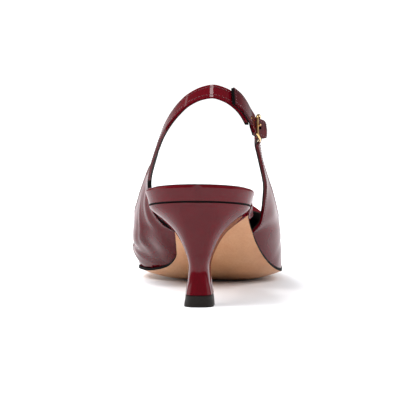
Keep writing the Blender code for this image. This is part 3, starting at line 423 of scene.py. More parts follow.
rings = []
for share in INSOLE_PLACES:
    thick = insole_thickness(share)
    round_edge = min(RIM_ROUND, thick * 0.4)
    low_station, low_middle, low_half = insole_edge(share, 0.0)
    sole_half = outline(low_station)[1]
    rise = sole_top(low_station, min(1.0, low_half / sole_half)) + FIT_GAP
    lip = RIM_LIP * rim_share(share)
    lip_station, lip_middle, lip_half = insole_edge(share, 0.0, -lip / 3)
    ring = []
    for i in range(17):
        u = -1 + i / 8
        if i in (0, 16) or share == INSOLE_PLACES[0]:
            ring.append(place(lip_middle + lip_half * u, lip_station, rise - lip))
        else:
            reach = min(1.0, abs(low_half * u) / sole_half)
            ring.append(place(low_middle + low_half * u, low_station,
                              sole_top(low_station, reach) + FIT_GAP))
    station, middle, half = insole_edge(share, 1.0)
    narrow = min(1.0, half / (3 * round_edge))
    dish = SEAT_DISH * min(1.0, half / (SEAT_WIDTH / 2))
    side = []
    for k in range(4):
        level = (k + 1) / 4 * (1 - round_edge / thick)
        at, _, reach = insole_edge(share, level / (1 - round_edge / thick))
        side.append((at, half - reach, thick * level))
    for angle in range(12, 91, 13):
        turn = math.radians(angle)
        side.append((station, round_edge * (1 - math.cos(turn)) * narrow,
                     thick - round_edge * (1 - math.sin(turn))))
    inner = half - side[-1][1]
    ring += [place(middle + half - x, at, rise + up) for at, x, up in side]
    for i in range(1, 16):
        u = 1 - i / 8
        ring.append(place(middle + inner * u, station, rise + thick - dish * (1 - u * u)))
    ring += [place(middle - half + x, at, rise + up) for at, x, up in reversed(side)]
    rings.append(ring)
rim = skin("insole_rim", rings, [patent])
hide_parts("insole")
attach(rim, "root")

# The sock is a sheet of black lining kid, cut a little smaller than the insole and cemented on
# it, so the foot doesn't touch the patent leather.

SOCK_INSET = 0.0028
SOCK_THICKNESS = 0.0002
SOCK_SINK = 0.0006
KID_GRAIN = 0.0006
LINING_BLACK = "#120f0e"
LINING_PALE = "#1f1a18"

# Kid lining leather: aniline-dyed black and nearly matt, with a pebbled grain 0.6 mm wide.
lining, tree, shader, where = surface("black_kid_lining", Roughness=0.52,
                                      Specular_IOR_Level=0.2)
pebbles = node(tree, "ShaderNodeTexVoronoi", {"feature": "DISTANCE_TO_EDGE"}, Vector=where,
               Scale=1 / KID_GRAIN)
clouded(tree, shader, where, 260.0, 4.0, (0.35, 0.7), (LINING_BLACK, LINING_PALE))
bump = node(tree, "ShaderNodeBump", Strength=0.25, Distance=0.0002, Height=pebbles.outputs[0])
tree.links.new(bump.outputs[0], shader.inputs["Normal"])

rings = []
for share in INSOLE_PLACES:
    thick = insole_thickness(share)
    station, middle, half = insole_edge(share, 1.0, SOCK_INSET)
    full_half = insole_edge(share, 1.0)[2]
    low_station, _, low_half = insole_edge(share, 0.0)
    rise = sole_top(low_station, min(1.0, low_half / outline(low_station)[1])) + FIT_GAP
    dish = SEAT_DISH * min(1.0, full_half / (SEAT_WIDTH / 2))
    top = []
    for i in range(25):
        u = math.sin(math.pi / 2 * (-1 + i / 12))
        reach = half * u / (full_half - RIM_ROUND * 0.6) if full_half > RIM_ROUND else 0.0
        top.append((middle + half * u, rise + thick - dish * (1 - min(1.0, reach * reach))))
    ring = [place(x, station, z - SOCK_SINK) for x, z in top]
    ring += [place(x, station, z + SOCK_THICKNESS * (0.35 if k in (0, 24) else 1))
             for k, (x, z) in reversed(list(enumerate(top)))]
    rings.append(ring)
sock = skin("sock_lining", rings, [lining])
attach(sock, "root")

# The heel is a moulded core that is covered in one piece of the upper's patent leather, drawn
# tight round the neck. The cover swells a little at the front edges and meets the tan sole at the
# heel's breast. Its sharper edges are rounded in black edge ink. This is partly the ink of its cut
# edges and partly painted shade: the dark line where the heel meets the sole and the seat.

HEEL_UNDERCUT = 0.0106
BREAST_LIP = 0.07
BREAST_STATION = 0.0560
BREAST_SCOOP = 0.0035
HEEL_WIDEST = 0.56
NECK_WIDTH = 0.0106
TOP_PIECE_HEIGHT = 0.0062
TOP_PIECE_LENGTH = 0.0168
TOP_PIECE_BACK = 0.0090
TOP_PIECE_TAPER = 0.0009

HEEL = table(
    "level neck spread breast undercut",
    (0.00, 1.28, 0.000, 0.000, 0.90), (0.14, 1.10, 0.000, 0.020, 0.965),
    (0.31, 1.00, 0.000, 0.085, 1.00), (0.40, 1.00, 0.034, 0.130, 0.97),
    (0.48, 1.00, 0.092, 0.180, 0.88), (0.575, 1.00, 0.180, 0.260, 0.79),
    (0.71, 1.00, 0.354, 0.410, 0.62), (0.795, 1.00, 0.529, 0.545, 0.49),
    (0.86, 1.00, 0.684, 0.670, 0.38), (0.91, 1.00, 0.825, 0.790, 0.29),
    (0.97, 1.00, 0.965, 0.940, 0.16), (1.00, 1.00, 1.000, 1.000, 0.08),
)
heel_neck = curve(HEEL, "neck")
heel_spread = curve(HEEL, "spread")
heel_breast = curve(HEEL, "breast")
heel_undercut = curve(HEEL, "undercut")


def heel_ring(level, height, length=None, width=None):
    """The heel's section at a level, from one breast corner round the back to the other."""
    spread = heel_spread(level)
    half = (NECK_WIDTH * heel_neck(level) * (1 - spread) + SEAT_WIDTH * spread) / 2
    back = HEEL_UNDERCUT * heel_undercut(level)
    neck_front = TOP_PIECE_BACK + TOP_PIECE_LENGTH - TOP_PIECE_TAPER
    front = neck_front + (BREAST_STATION - neck_front) * heel_breast(level)
    if width is not None:
        half, back, front = width / 2, TOP_PIECE_BACK, TOP_PIECE_BACK + length
    side = []
    for i in range(25):
        f = (i / 24) ** 1.8
        neck_share = (1 - (1 - f / HEEL_WIDEST) ** 2.5) ** 0.4 if f < HEEL_WIDEST else 1.0
        lip = BREAST_LIP * max(0.0, (f - HEEL_WIDEST) / (1 - HEEL_WIDEST)) ** 2
        lip *= min(1.0, (1 - level) * 8)
        if width is not None:
            lip = 0.0
        station = back + (front - back) * f
        middle, seat_half = outline(station)
        seat_share = seat_half / (SEAT_WIDTH / 2)
        side.append((half * (neck_share * (1 - spread) + seat_share * spread) * (1 + lip),
                     station, middle * spread))
    ring = [(m - x, s) for x, s, m in reversed(side)] + [(m + x, s) for x, s, m in side[1:]]
    scoop = BREAST_SCOOP * min(1.0, spread * 1.6)
    for k in range(1, 10):
        u = 1 - k / 5
        ring.append((side[-1][2] + side[-1][0] * u, front - scoop * (1 - u * u)))
    return [place(x, s, height(s, level)) for x, s in ring]


def heel_height(station, level):
    """Height of the heel's cover, from the top piece at level 0 to the seat at level 1."""
    seat = underside(station) - FIT_GAP
    return TOP_PIECE_HEIGHT + (seat - TOP_PIECE_HEIGHT) * level


heel_levels = [math.sin(math.pi / 2 * i / 70) for i in range(71)]
heel = skin("heel_cover", [heel_ring(level, heel_height) for level in heel_levels],
            [patent, edge_ink_and_shade], sharp=60)
# The rounds take the black edge ink, partly painted shade along the heel's edges.
round_edges(heel, 0.0006, 3, 45, 1)
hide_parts("heel")
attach(heel, "root")

# The top piece is punched from sheet rubber, nailed and cemented under the heel, and trimmed to
# a slight flare.

TOP_PIECE_WIDTH = 0.0155
RUBBER = "#161311"
RUBBER_PALE = "#221e1b"

# Vulcanised rubber: carbon black, dull, with a fine pitted skin from its mould.
rubber, tree, shader, where = surface("vulcanised_rubber", Roughness=0.5,
                                      Specular_IOR_Level=0.15)
specks = clouded(tree, shader, where, 2200.0, 3.0, (0.4, 0.7), (RUBBER, RUBBER_PALE))
bump = node(tree, "ShaderNodeBump", Strength=0.3, Distance=0.0002, Height=specks)
tree.links.new(bump.outputs[0], shader.inputs["Normal"])

floor_ring = heel_ring(0.0, lambda s, level: 0.0, TOP_PIECE_LENGTH, TOP_PIECE_WIDTH)
neck_ring = heel_ring(0.0, lambda s, level: TOP_PIECE_HEIGHT - FIT_GAP)
top_piece = skin("top_piece_rubber", [
    [low.lerp(high, t / 6) for low, high in zip(floor_ring, neck_ring)] for t in range(7)],
    [rubber])
round_edges(top_piece, 0.0003, 3, 50)
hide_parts("top_piece")
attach(top_piece, "root")

# The upper is cut from patent calf: a vamp with two long quarters, the inner one drawn out into
# the sling that runs round the heel and the outer one into a stub for the buckle. It is lined
# with black kid and lasted under the insole, and its cut ends and inner back edge are inked.

INSTEP_HEIGHT = 0.0362
SLING_HEIGHT = 0.0513
SLING_WIDTH = 0.0600
SLING_WALL = 0.0019
STRAP_WIDTH = 0.0095
STRAP_LEAN_DEG = 36.0
FOLD_WALL = 0.0008
FOLD_REACH = 0.0048
STUB_STRAIGHT = 0.0085
STUB_SET = 0.0002
ACROSS = 24
FOLD_SLOT = range(9, 15)
PATENT_SHARE = 0.62
LINING_GAP_SHARE = 0.03
LINING_TRIM = 0.0003
STRAP_ANGLES = (88.0, 97.0, 0.33)
HANDLE_AHEAD = 0.3
TOP_HANDLE = 0.8
BOW_FADE = 2.2
TIP_WALLS = 2.2
QUARTER_ROWS = 34
SLING_ROWS = 110
STUB_ROWS = 26
INKED_ROWS = 30

CROWN = table("station rise", (0.698, 1.00), (0.746, 0.89), (0.806, 0.70), (0.887, 0.46),
              (0.948, 0.32), (1.000, 0.24))
FOREPART = table(
    "foot top top_medial top_lateral rise leave_medial leave_lateral arriving full_medial"
    " full_lateral",
    (0.389, 0.484, -0.486, 0.462, 0.700, 12, 26, 92, 0.58, 0.44),
    (0.423, 0.520, -0.490, 0.466, 0.730, 11, 31, 97, 0.66, 0.48),
    (0.464, 0.554, -0.480, 0.458, 0.765, 13, 40, 103, 0.73, 0.51),
    (0.508, 0.589, -0.446, 0.430, 0.795, 18, 53, 111, 0.77, 0.53),
    (0.556, 0.621, -0.380, 0.370, 0.820, 22, 70, 121, 0.76, 0.53),
    (0.601, 0.651, -0.291, 0.280, 0.858, 35, 82, 134, 0.62, 0.52),
    (0.637, 0.675, -0.183, 0.184, 0.915, 56, 89, 150, 0.59, 0.53),
    (0.665, 0.692, -0.085, 0.088, 0.970, 80, 93, 166, 0.59, 0.55),
    (0.685, 0.698, 0.000, 0.000, 1.000, 88, 95, 180, 0.57, 0.56),
    (0.760, 0.766, 0.000, 0.000, 1.000, 96, 97, 180, 0.54, 0.54),
    (0.880, 0.883, 0.000, 0.000, 1.000, 97, 98, 180, 0.50, 0.50),
    (1.000, 1.000, 0.000, 0.000, 1.000, 94, 94, 180, 0.48, 0.48),
)
QUARTER = table(
    "foot foot_medial foot_lateral foot_rise top top_medial top_lateral top_rise leave_medial"
    " leave_lateral arriving full_medial full_lateral",
    (0.371, -0.375, 0.483, 0.050, 0.448, -0.623, 0.610, 0.700, 22, 34, 91, 0.52, 0.42),
    (0.347, -0.450, 0.515, 0.115, 0.407, -0.586, 0.590, 0.707, 42, 50, 92, 0.48, 0.40),
    (0.315, -0.483, 0.540, 0.215, 0.361, -0.540, 0.562, 0.704, 70, 72, 94, 0.40, 0.36),
    (0.282, -0.487, 0.550, 0.287, 0.318, -0.497, 0.540, 0.713, 82, 82, 96, 0.34, 0.34),
)
STRAP_PLACE = "station x rise lean width"
SLING = table(
    STRAP_PLACE,
    (0.249, -0.472, 0.365, 0.20, 1.00), (0.208, -0.438, 0.470, 0.24, 1.00),
    (0.163, -0.387, 0.586, 0.25, 0.98), (0.122, -0.335, 0.690, 0.24, 0.96),
    (0.081, -0.262, 0.793, 0.20, 0.85), (0.048, -0.184, 0.876, 0.14, 0.78),
    (0.022, -0.094, 0.950, 0.07, 0.72), (0.006, 0.030, 1.006, 0.02, 0.75),
    (0.002, 0.130, 1.020, 0.00, 0.79), (0.012, 0.235, 0.990, -0.04, 0.82),
    (0.036, 0.325, 0.932, -0.10, 0.89), (0.060, 0.377, 0.872, -0.13, 0.96),
    (0.088, 0.420, 0.790, -0.14, 1.00),
)
STUB = table(STRAP_PLACE, (0.249, 0.540, 0.362, -0.14, 1.00), (0.2234, 0.523, 0.455, -0.12, 1.00))
BUCKLE_PLACE = table(STRAP_PLACE, (0.1367, 0.490, 0.777, -0.02, 1.00))[0]
BUCKLE_WIRE = 0.0015
BUCKLE_LENGTH = 0.0104
BUCKLE_FALL_DEG = 24.0
BUCKLE_SPLAY_DEG = 0.5
FRONT_BAR = (BUCKLE_LENGTH - BUCKLE_WIRE) / 2

THROAT = FOREPART[8]
forepart = {name: curve(FOREPART, name) for name in FOREPART[0]._fields[1:]}
crown_rise = curve(CROWN, "rise")


def section(foot, top, side, leaving, arriving, full):
    """Points of one section. side is -1 on the medial and 1 on the lateral half."""
    length = (top - foot).length
    leave, arrive = math.radians(leaving), math.radians(arriving)
    out = Vector((side * math.cos(leave), 0, math.sin(leave)))
    end = Vector((side * math.cos(arrive), 0, math.sin(arrive)))
    ahead = (top - foot).y * Vector((0, 1, 0))
    b = foot + out * (length * full) + ahead * HANDLE_AHEAD
    c = top - end * (length * full * TOP_HANDLE) - ahead * HANDLE_AHEAD
    made = []
    for i in range(ACROSS + 1):
        t = i / ACROSS
        u = 1 - t
        made.append(foot * u ** 3 + b * 3 * u * u * t + c * 3 * u * t * t + top * t ** 3)
    return made


def foot_on_sole(station, side):
    """Where the upper's outside meets the outsole, on one side."""
    middle, half = outline(station, -FEATHER_INSET)
    return place(middle + side * half, station, sole_top(station) + FIT_GAP)


def forepart_row(share, side):
    """The section whose foot is at this share of the length, on the sole."""
    row = {name: column(share) for name, column in forepart.items()}
    half = "medial" if side < 0 else "lateral"
    top_station = row["top"] * SHOE_LENGTH
    if share >= THROAT.foot - 1e-6:
        tip = SHOE_LENGTH - FEATHER_INSET
        top_station = min(max(top_station, share * SHOE_LENGTH), tip)
        middle = outline(top_station, -FEATHER_INSET)[0]
        front = (tip - top_station) / TOE_ROUND
        close = math.sqrt(max(0.0, 1 - (1 - front) ** 2)) if front < 1 else 1.0
        bend = (top_station / SHOE_LENGTH - THROAT.top) / (1 - THROAT.top)
        bend = min(1.0, max(0.0, bend))
        rise = INSTEP_HEIGHT * crown_rise(top_station / SHOE_LENGTH) * close
        top = place(middle * bend, top_station, sole_top(top_station) + FIT_GAP + rise)
    else:
        top = place(row["top_" + half] * BALL_WIDTH, top_station,
                    sole_top(top_station) + INSTEP_HEIGHT * row["rise"] + FIT_GAP)
    return section(foot_on_sole(share * SHOE_LENGTH, side), top, side, row["leave_" + half],
                   row["arriving"], row["full_" + half])


def quarter_sections(side):
    """Sections from the sole's waist back to the strap: foot, top, angles and fullness."""
    half = "medial" if side < 0 else "lateral"
    first = FOREPART[0]
    top_station = first.top * SHOE_LENGTH
    made = [(foot_on_sole(first.foot * SHOE_LENGTH, side),
             place(getattr(first, "top_" + half) * BALL_WIDTH, top_station,
                   sole_top(top_station) + INSTEP_HEIGHT * first.rise + FIT_GAP),
             getattr(first, "leave_" + half), first.arriving, getattr(first, "full_" + half))]
    for row in QUARTER:
        foot_station, top_station = row.foot * SHOE_LENGTH, row.top * SHOE_LENGTH
        made.append((
            place(getattr(row, "foot_" + half) * SLING_WIDTH, foot_station,
                  sole_top(foot_station) + SLING_HEIGHT * row.foot_rise),
            place(getattr(row, "top_" + half) * SLING_WIDTH, top_station,
                  sole_top(top_station) + INSTEP_HEIGHT * row.top_rise),
            getattr(row, "leave_" + half), row.arriving, getattr(row, "full_" + half)))
    return made


def strap_section(row):
    """Foot and top of the strap at a row of its table."""
    station = row.station * SHOE_LENGTH
    foot = place(row.x * SLING_WIDTH, station, sole_top(station) + SLING_HEIGHT * row.rise)
    lean = math.radians(STRAP_LEAN_DEG)
    width = Vector((row.lean, math.sin(lean), math.cos(lean))).normalized()
    return foot, foot + width * (STRAP_WIDTH * row.width)


def running(points):
    """Lengths along a line of points, from its start."""
    lengths = [0.0]
    for a, b in zip(points, points[1:]):
        lengths.append(lengths[-1] + (b - a).length)
    return lengths


def smooth_path(points, lengths):
    """A smooth curve through points that stand at the given lengths."""
    rows = table("at x y z", *((length, *point) for length, point in zip(lengths, points)))
    axes = [curve(rows, name, False) for name in "xyz"]
    return lambda length: Vector([axis(length) for axis in axes])


def quarter_and_strap(side, straps, quarter_count, strap_count):
    """Rows of the quarter, then of the strap that it draws out into."""
    sections = quarter_sections(side)
    feet = [s[0] for s in sections] + [s[0] for s in straps]
    tops = [s[1] for s in sections] + [s[1] for s in straps]
    lengths = running(feet)
    split = lengths[len(sections)]
    marks = [split * i / quarter_count for i in range(quarter_count)]
    marks += [split + (lengths[-1] - split) * i / strap_count for i in range(strap_count + 1)]
    foot_curve = smooth_path(feet, lengths)
    top_curve = smooth_path(tops, lengths)
    angles = [(length, *s[2:]) for length, s in zip(lengths, sections)]
    angles += [(length, *STRAP_ANGLES) for length in lengths[len(sections):]]
    angles = table("at leaving arriving full", *angles)
    leave, arrive, full = (curve(angles, name) for name in ("leaving", "arriving", "full"))
    made = []
    for mark in marks:
        foot, top = foot_curve(mark), top_curve(mark)
        bowed = section(foot, top, side, leave(mark), arrive(mark), full(mark))
        keep = min(1.0, max(0.0, 1 - mark / split) * BOW_FADE)
        made.append([b * keep + foot.lerp(top, i / ACROSS) * (1 - keep)
                     for i, b in enumerate(bowed)])
    return made


def buckle_point(ahead, across, out):
    """A point from the buckle's centre: along the strap to the front, across it, and outwards."""
    fall, splay = math.radians(BUCKLE_FALL_DEG), math.radians(BUCKLE_SPLAY_DEG)
    station = BUCKLE_PLACE.station * SHOE_LENGTH
    centre = place(BUCKLE_PLACE.x * SLING_WIDTH, station,
                   sole_top(station) + SLING_HEIGHT * BUCKLE_PLACE.rise)
    along = Vector((math.sin(splay) * math.cos(fall), math.cos(splay) * math.cos(fall),
                    -math.sin(fall)))
    up = Vector((BUCKLE_PLACE.lean, math.sin(fall), math.cos(fall)))
    up = (up - along * up.dot(along)).normalized()
    return centre + along * ahead + up * across + along.cross(up) * out


def fold_rows():
    """The stub's end, round the front bar: each row's points, its wall and its slot."""
    round_bar = BUCKLE_WIRE / 2 + FIT_GAP + FOLD_WALL
    slot_end = round_bar + 0.5 * BUCKLE_WIRE
    rows = [(FOLD_REACH, round_bar * 0.66, (FOLD_WALL + UPPER_WALL) / 2, False),
            (slot_end, round_bar * 0.86, FOLD_WALL * 1.1, True)]
    for angle in range(90, 271, 15):
        turn = math.radians(angle)
        rows.append((round_bar * math.cos(turn), round_bar * math.sin(turn), FOLD_WALL, True))
    rows += [(slot_end, -round_bar * 0.95, FOLD_WALL, True),
             (FOLD_REACH, -round_bar * 0.86, FOLD_WALL * 0.8, False)]
    return [([buckle_point(FRONT_BAR + ahead, STRAP_WIDTH * (j / ACROSS - 0.5), out)
              for j in range(ACROSS + 1)], wall, slot) for ahead, out, wall, slot in rows]


def normals_of(rows, outward):
    """Unit normals of a grid of points, turned to the side that outward names."""
    made = []
    for i, row in enumerate(rows):
        ahead, behind = rows[min(i + 1, len(rows) - 1)], rows[max(i - 1, 0)]
        made.append([((ahead[j] - behind[j]).cross(row[min(j + 1, len(row) - 1)]
                                                   - row[max(j - 1, 0)])).normalized() * outward
                     for j in range(len(row))])
    return made


# Creases of the inner quarter, where the leather is drawn in to the waist of the sole. Each runs
# between two places, given by the foot's share of the length and the share of the way up, and
# has a shallow furrow on each side. CREASE_UP turns a share of the way up into one of the length.
CREASE_UP = 0.16
FURROW_DEPTH = 0.45
FURROW_PLACE = 0.55
CREASES = table(
    "foot_from up_from foot_to up_to width height",
    (0.570, 0.04, 0.330, 0.66, 0.022, 0.00065),
    (0.570, -0.06, 0.300, 0.32, 0.040, 0.00100),
    (0.440, -0.02, 0.375, 0.10, 0.016, 0.00040),
)


def crease_height(share, up):
    """How far the leather stands out at a place of the inner quarter."""
    made = 0.0
    for crease in CREASES:
        along = Vector((crease.foot_to - crease.foot_from,
                        (crease.up_to - crease.up_from) * CREASE_UP))
        away = Vector((share - crease.foot_from, (up - crease.up_from) * CREASE_UP))
        t = away.dot(along) / along.dot(along)
        fade = math.sin(math.pi * t) if 0 < t < 1 else 0.0
        distance = (away - along * t).length
        furrow = (distance - crease.width * FURROW_PLACE) / crease.width * 3.4
        made += crease.height * fade * (math.exp(-(distance / crease.width * 3) ** 2)
                                        - FURROW_DEPTH * math.exp(-furrow ** 2))
    return made


tip_share = 1 - (FEATHER_INSET + 0.02 * TOE_ROUND) / SHOE_LENGTH
toe_start = 1 - 1.6 * TOE_ROUND / SHOE_LENGTH
closed_shares = [tip_share + (toe_start - tip_share) * (i / 12) ** 2 for i in range(12)]
closed_shares += [toe_start + (THROAT.foot - toe_start) * i / 44 for i in range(45)]
closed = [forepart_row(share, -1) + list(reversed(forepart_row(share, 1)))[1:]
          for share in closed_shares]
OPEN_ROWS = 40
open_shares = [THROAT.foot + (FOREPART[0].foot - THROAT.foot) * i / OPEN_ROWS
               for i in range(1, OPEN_ROWS)]
approach = tuple(buckle_point(FRONT_BAR + STUB_STRAIGHT, STRAP_WIDTH * across, -STUB_SET)
                 for across in (-0.5, 0.5))
halves = {}
for side, sections, count, end in (
        (-1, [strap_section(row) for row in SLING], SLING_ROWS, []),
        (1, [strap_section(row) for row in STUB] + [approach], STUB_ROWS, fold_rows())):
    rows = [forepart_row(share, side) for share in open_shares]
    drawn = quarter_and_strap(side, sections, QUARTER_ROWS, count)
    walls = [UPPER_WALL] * len(rows)
    end_wall = SLING_WALL if side < 0 else UPPER_WALL
    walls += [UPPER_WALL + (end_wall - UPPER_WALL) * i / (len(drawn) - 1)
              for i in range(len(drawn))]
    rows += drawn
    if side < 0:
        lifts = normals_of(rows, 1)
        for i in range(OPEN_ROWS + QUARTER_ROWS):
            share = (rows[i][0].y + TREAD_CENTRE) / SHOE_LENGTH
            rows[i] = [p + n * crease_height(share, j / ACROSS)
                       for j, (p, n) in enumerate(zip(rows[i], lifts[i]))]
    slots = [False] * len(rows)
    for points, wall, slot in end:
        rows.append(points)
        walls.append(wall)
        slots.append(slot)
    halves[side] = rows, walls, slots


def upper_layer(name, outer_share, inner_share, trim, materials):
    """One layer of the upper, between two shares of its wall, trimmed back at its free edges."""
    shape = bmesh.new()
    face = shape.faces.new

    def put(points):
        return [shape.verts.new(p) for p in points]

    def sunk(points, normals, depth, feet, free):
        made = [p - n * depth for p, n in zip(points, normals)]
        for end in feet:
            flat = Vector((normals[end].x, normals[end].y, 0)).normalized()
            made[end] = points[end] - flat * depth
        for end, beside in free:
            made[end] = made[end] + (made[beside] - made[end]).normalized() * trim
        return made

    closed_normals = normals_of(closed, 1)
    starts = [next(i for i, share in enumerate(closed_shares)
                   if outline(share * SHOE_LENGTH)[1] > TIP_WALLS * UPPER_WALL * depth)
              for depth in (outer_share, inner_share)]
    grids = []
    for depth, start in zip((outer_share, inner_share), starts):
        grids.append({i: put(sunk(closed[i], closed_normals[i], UPPER_WALL * depth, (0, -1), ()))
                      for i in range(start, len(closed))})
    outer, inner = grids
    first, start = starts
    across = len(closed[0])
    for grid, begin in ((outer, first), (inner, start)):
        face(grid[begin])
        for i in range(begin, len(closed) - 1):
            for j in range(across - 1):
                face((grid[i][j], grid[i][j + 1], grid[i + 1][j + 1], grid[i + 1][j]))
    for i in range(first, start - 1):
        face((outer[i][0], outer[i + 1][0], outer[i + 1][-1], outer[i][-1]))
    if start > first:
        face((outer[start - 1][0], outer[start][0], inner[start][0], inner[start][-1],
              outer[start][-1], outer[start - 1][-1]))
    else:
        face((outer[start][0], inner[start][0], inner[start][-1], outer[start][-1]))
    for i in range(start, len(closed) - 1):
        for j in (0, -1):
            face((outer[i][j], outer[i + 1][j], inner[i + 1][j], inner[i][j]))
    for side, (rows, walls, slots) in halves.items():
        seam = closed[-1][:ACROSS + 1] if side < 0 else list(reversed(closed[-1][ACROSS:]))
        normals = normals_of([seam] + rows, 1 if side < 0 else -1)
        grids = []
        for depth, grid in ((outer_share, outer), (inner_share, inner)):
            edge = grid[len(closed) - 1]
            made = [edge[:ACROSS + 1] if side < 0 else list(reversed(edge[ACROSS:]))]
            for i, row in enumerate(rows):
                feet = (0,) if i < OPEN_ROWS else ()
                free = [(-1, -2)] if i < OPEN_ROWS else [(-1, -2), (0, 1)]
                made.append(put(sunk(row, normals[i + 1], walls[i] * depth, feet, free)))
            grids.append(made)
        skips = [False] + slots
        was_slot = False
        for i in range(len(grids[0]) - 1):
            a, b, c, d = grids[0][i], grids[0][i + 1], grids[1][i], grids[1][i + 1]
            slot = skips[i] and skips[i + 1]
            for j in range(ACROSS):
                if slot and j in FOLD_SLOT:
                    continue
                face((a[j], a[j + 1], b[j + 1], b[j]))
                face((c[j], d[j], d[j + 1], c[j + 1]))
            edges = [0, ACROSS] + ([FOLD_SLOT[0], FOLD_SLOT[-1] + 1] if slot else [])
            for j in edges:
                side_face = face((a[j], b[j], d[j], c[j]))
                cut = i > len(grids[0]) - 4 or (j == 0 and OPEN_ROWS < i < OPEN_ROWS + INKED_ROWS)
                side_face.material_index = 1 if side < 0 and cut else 0
            if slot != was_slot:
                for j in FOLD_SLOT:
                    face((a[j], a[j + 1], c[j + 1], c[j]))
            was_slot = slot
        for j in range(ACROSS):
            face((grids[0][-1][j], grids[0][-1][j + 1], grids[1][-1][j + 1],
                  grids[1][-1][j])).material_index = 1
    return finished(name, shape, materials)


upper = upper_layer("upper_patent", 0.0, PATENT_SHARE, 0.0, [patent, edge_ink_and_shade])
round_edges(upper, 0.0004, 3, 55)
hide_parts("upper")
upper_lining = upper_layer("upper_lining", PATENT_SHARE + LINING_GAP_SHARE, 1.0, LINING_TRIM,
                           [lining, edge_ink_and_shade])
for piece in (upper, upper_lining):
    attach(piece, "root")

# A row of close stitches in burgundy thread holds the patent leather and the lining together,
# just inside each free edge of the quarters, the sling and the throat.

STITCH_PITCH = 0.0021
STITCH_LENGTH = 0.0016
THREAD = 0.00032
STITCH_INSET = 0.0014
STITCH_RISE = 0.15
THREAD_RED = "#521520"
THREAD_GROOVE_SHADE = "#3a0c14"

# Bonded polyester thread: twisted, slightly waxy, and a shade paler than the leather.
thread, tree, shader, where = surface("bonded_polyester_thread", Roughness=0.55,
                                      Sheen_Weight=0.3)
# The wave paints dark bands along the thread: painted shade in the grooves of its twist.
twist = node(tree, "ShaderNodeTexWave", Vector=where, Scale=900.0, Distortion=2.0)
twist_with_shade = node(tree, "ShaderNodeMix", {"data_type": "RGBA"}, Factor=twist.outputs[1],
               _6=linear(THREAD_RED), _7=linear(THREAD_GROOVE_SHADE))
tree.links.new(twist_with_shade.outputs[2], shader.inputs["Base Color"])


def stitch_tree(name):
    """Node group that lays stitches at a pitch along a curve and gives them their thread."""
    tree = bpy.data.node_groups.new(name, "GeometryNodeTree")
    tree.interface.new_socket("Geometry", in_out="INPUT", socket_type="NodeSocketGeometry")
    for label, value in (("Pitch", STITCH_PITCH), ("Stitch Length", STITCH_LENGTH),
                         ("Thread", THREAD)):
        socket = tree.interface.new_socket(label, in_out="INPUT",
                                           socket_type="NodeSocketFloat")
        socket.default_value = value
    tree.interface.new_socket("Material", in_out="INPUT", socket_type="NodeSocketMaterial")
    tree.interface.new_socket("Geometry", in_out="OUTPUT", socket_type="NodeSocketGeometry")
    given = tree.nodes.new("NodeGroupInput").outputs
    path = node(tree, "GeometryNodeResampleCurve", {"mode": "LENGTH"}, Curve=given["Geometry"],
                Length=given["Pitch"])
    bead = node(tree, "GeometryNodeMeshUVSphere", Segments=8, Rings=6, Radius=0.5)
    size = node(tree, "ShaderNodeCombineXYZ", X=given["Stitch Length"], Y=given["Thread"],
                Z=given["Thread"])
    shaped = node(tree, "GeometryNodeTransform", Geometry=bead.outputs[0],
                  Scale=size.outputs[0])
    tangent = tree.nodes.new("GeometryNodeInputTangent").outputs[0]
    turned = node(tree, "FunctionNodeAlignRotationToVector", {"axis": "X"}, Vector=tangent)
    laid = node(tree, "GeometryNodeInstanceOnPoints", Points=path.outputs[0],
                Instance=shaped.outputs[0], Rotation=turned.outputs[0])
    real = node(tree, "GeometryNodeRealizeInstances", Geometry=laid.outputs[0])
    smooth = node(tree, "GeometryNodeSetShadeSmooth", Geometry=real.outputs[0])
    dyed = node(tree, "GeometryNodeSetMaterial", Geometry=smooth.outputs[0],
                Material=given["Material"])
    node(tree, "NodeGroupOutput", Geometry=dyed.outputs[0])
    return tree


stitching = stitch_tree("stitches_along_a_seam")


def evaluated(made):
    """A plain mesh of an object as its modifiers leave it."""
    graph = bpy.context.evaluated_depsgraph_get()
    return bpy.data.meshes.new_from_object(made.evaluated_get(graph), depsgraph=graph)


def sewn(name, lines, pitch=STITCH_PITCH, length=STITCH_LENGTH, size=THREAD):
    """Stitches along lines of points, as one plain mesh."""
    seam = bpy.data.curves.new(name + "_line", "CURVE")
    seam.dimensions = "3D"
    for line in lines:
        spline = seam.splines.new("POLY")
        spline.points.add(len(line) - 1)
        for point, at in zip(spline.points, line):
            point.co = (*at, 1.0)
    guide = shown(name + "_line", seam)
    work = guide.modifiers.new("stitches", "NODES")
    work.node_group = stitching
    inputs = {"Pitch": pitch, "Stitch Length": length, "Thread": size, "Material": thread}
    for item in stitching.interface.items_tree:
        if item.in_out == "INPUT" and item.name in inputs:
            work[item.identifier] = inputs[item.name]
    mesh = evaluated(guide)
    mesh.name = name
    bpy.data.objects.remove(guide)
    bpy.data.curves.remove(seam)
    made = shown(name, mesh)
    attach(made, "root")


def inside_edge(row, normals, end, inset, lift):
    """The point of a row that lies this far inside one of its ends, and this far outwards."""
    order = list(range(len(row))) if end == 0 else list(reversed(range(len(row))))
    left = inset
    for a, b in zip(order, order[1:]):
        step = (row[b] - row[a]).length
        if step >= left:
            return row[a].lerp(row[b], left / step) + normals[a] * lift
        left -= step
    return row[order[-1]]


seams = []
for side in (-1, 1):
    rows = halves[side][0]
    normals = normals_of(rows, 1 if side < 0 else -1)
    last = len(rows) - (2 if side < 0 else len(fold_rows()))
    for end, first in ((-1, 0), (0, OPEN_ROWS + 1)):
        seams.append([inside_edge(rows[i], normals[i], end, STITCH_INSET, THREAD * STITCH_RISE)
                      for i in range(first, last)])
sewn("edge_stitches", seams)

# The buckle strap is a strip of patent leather turned down over a black lining, with inked
# edges. It is stitched over the end of the sling, passes under the buckle's rear bar and comes
# out over the front one.

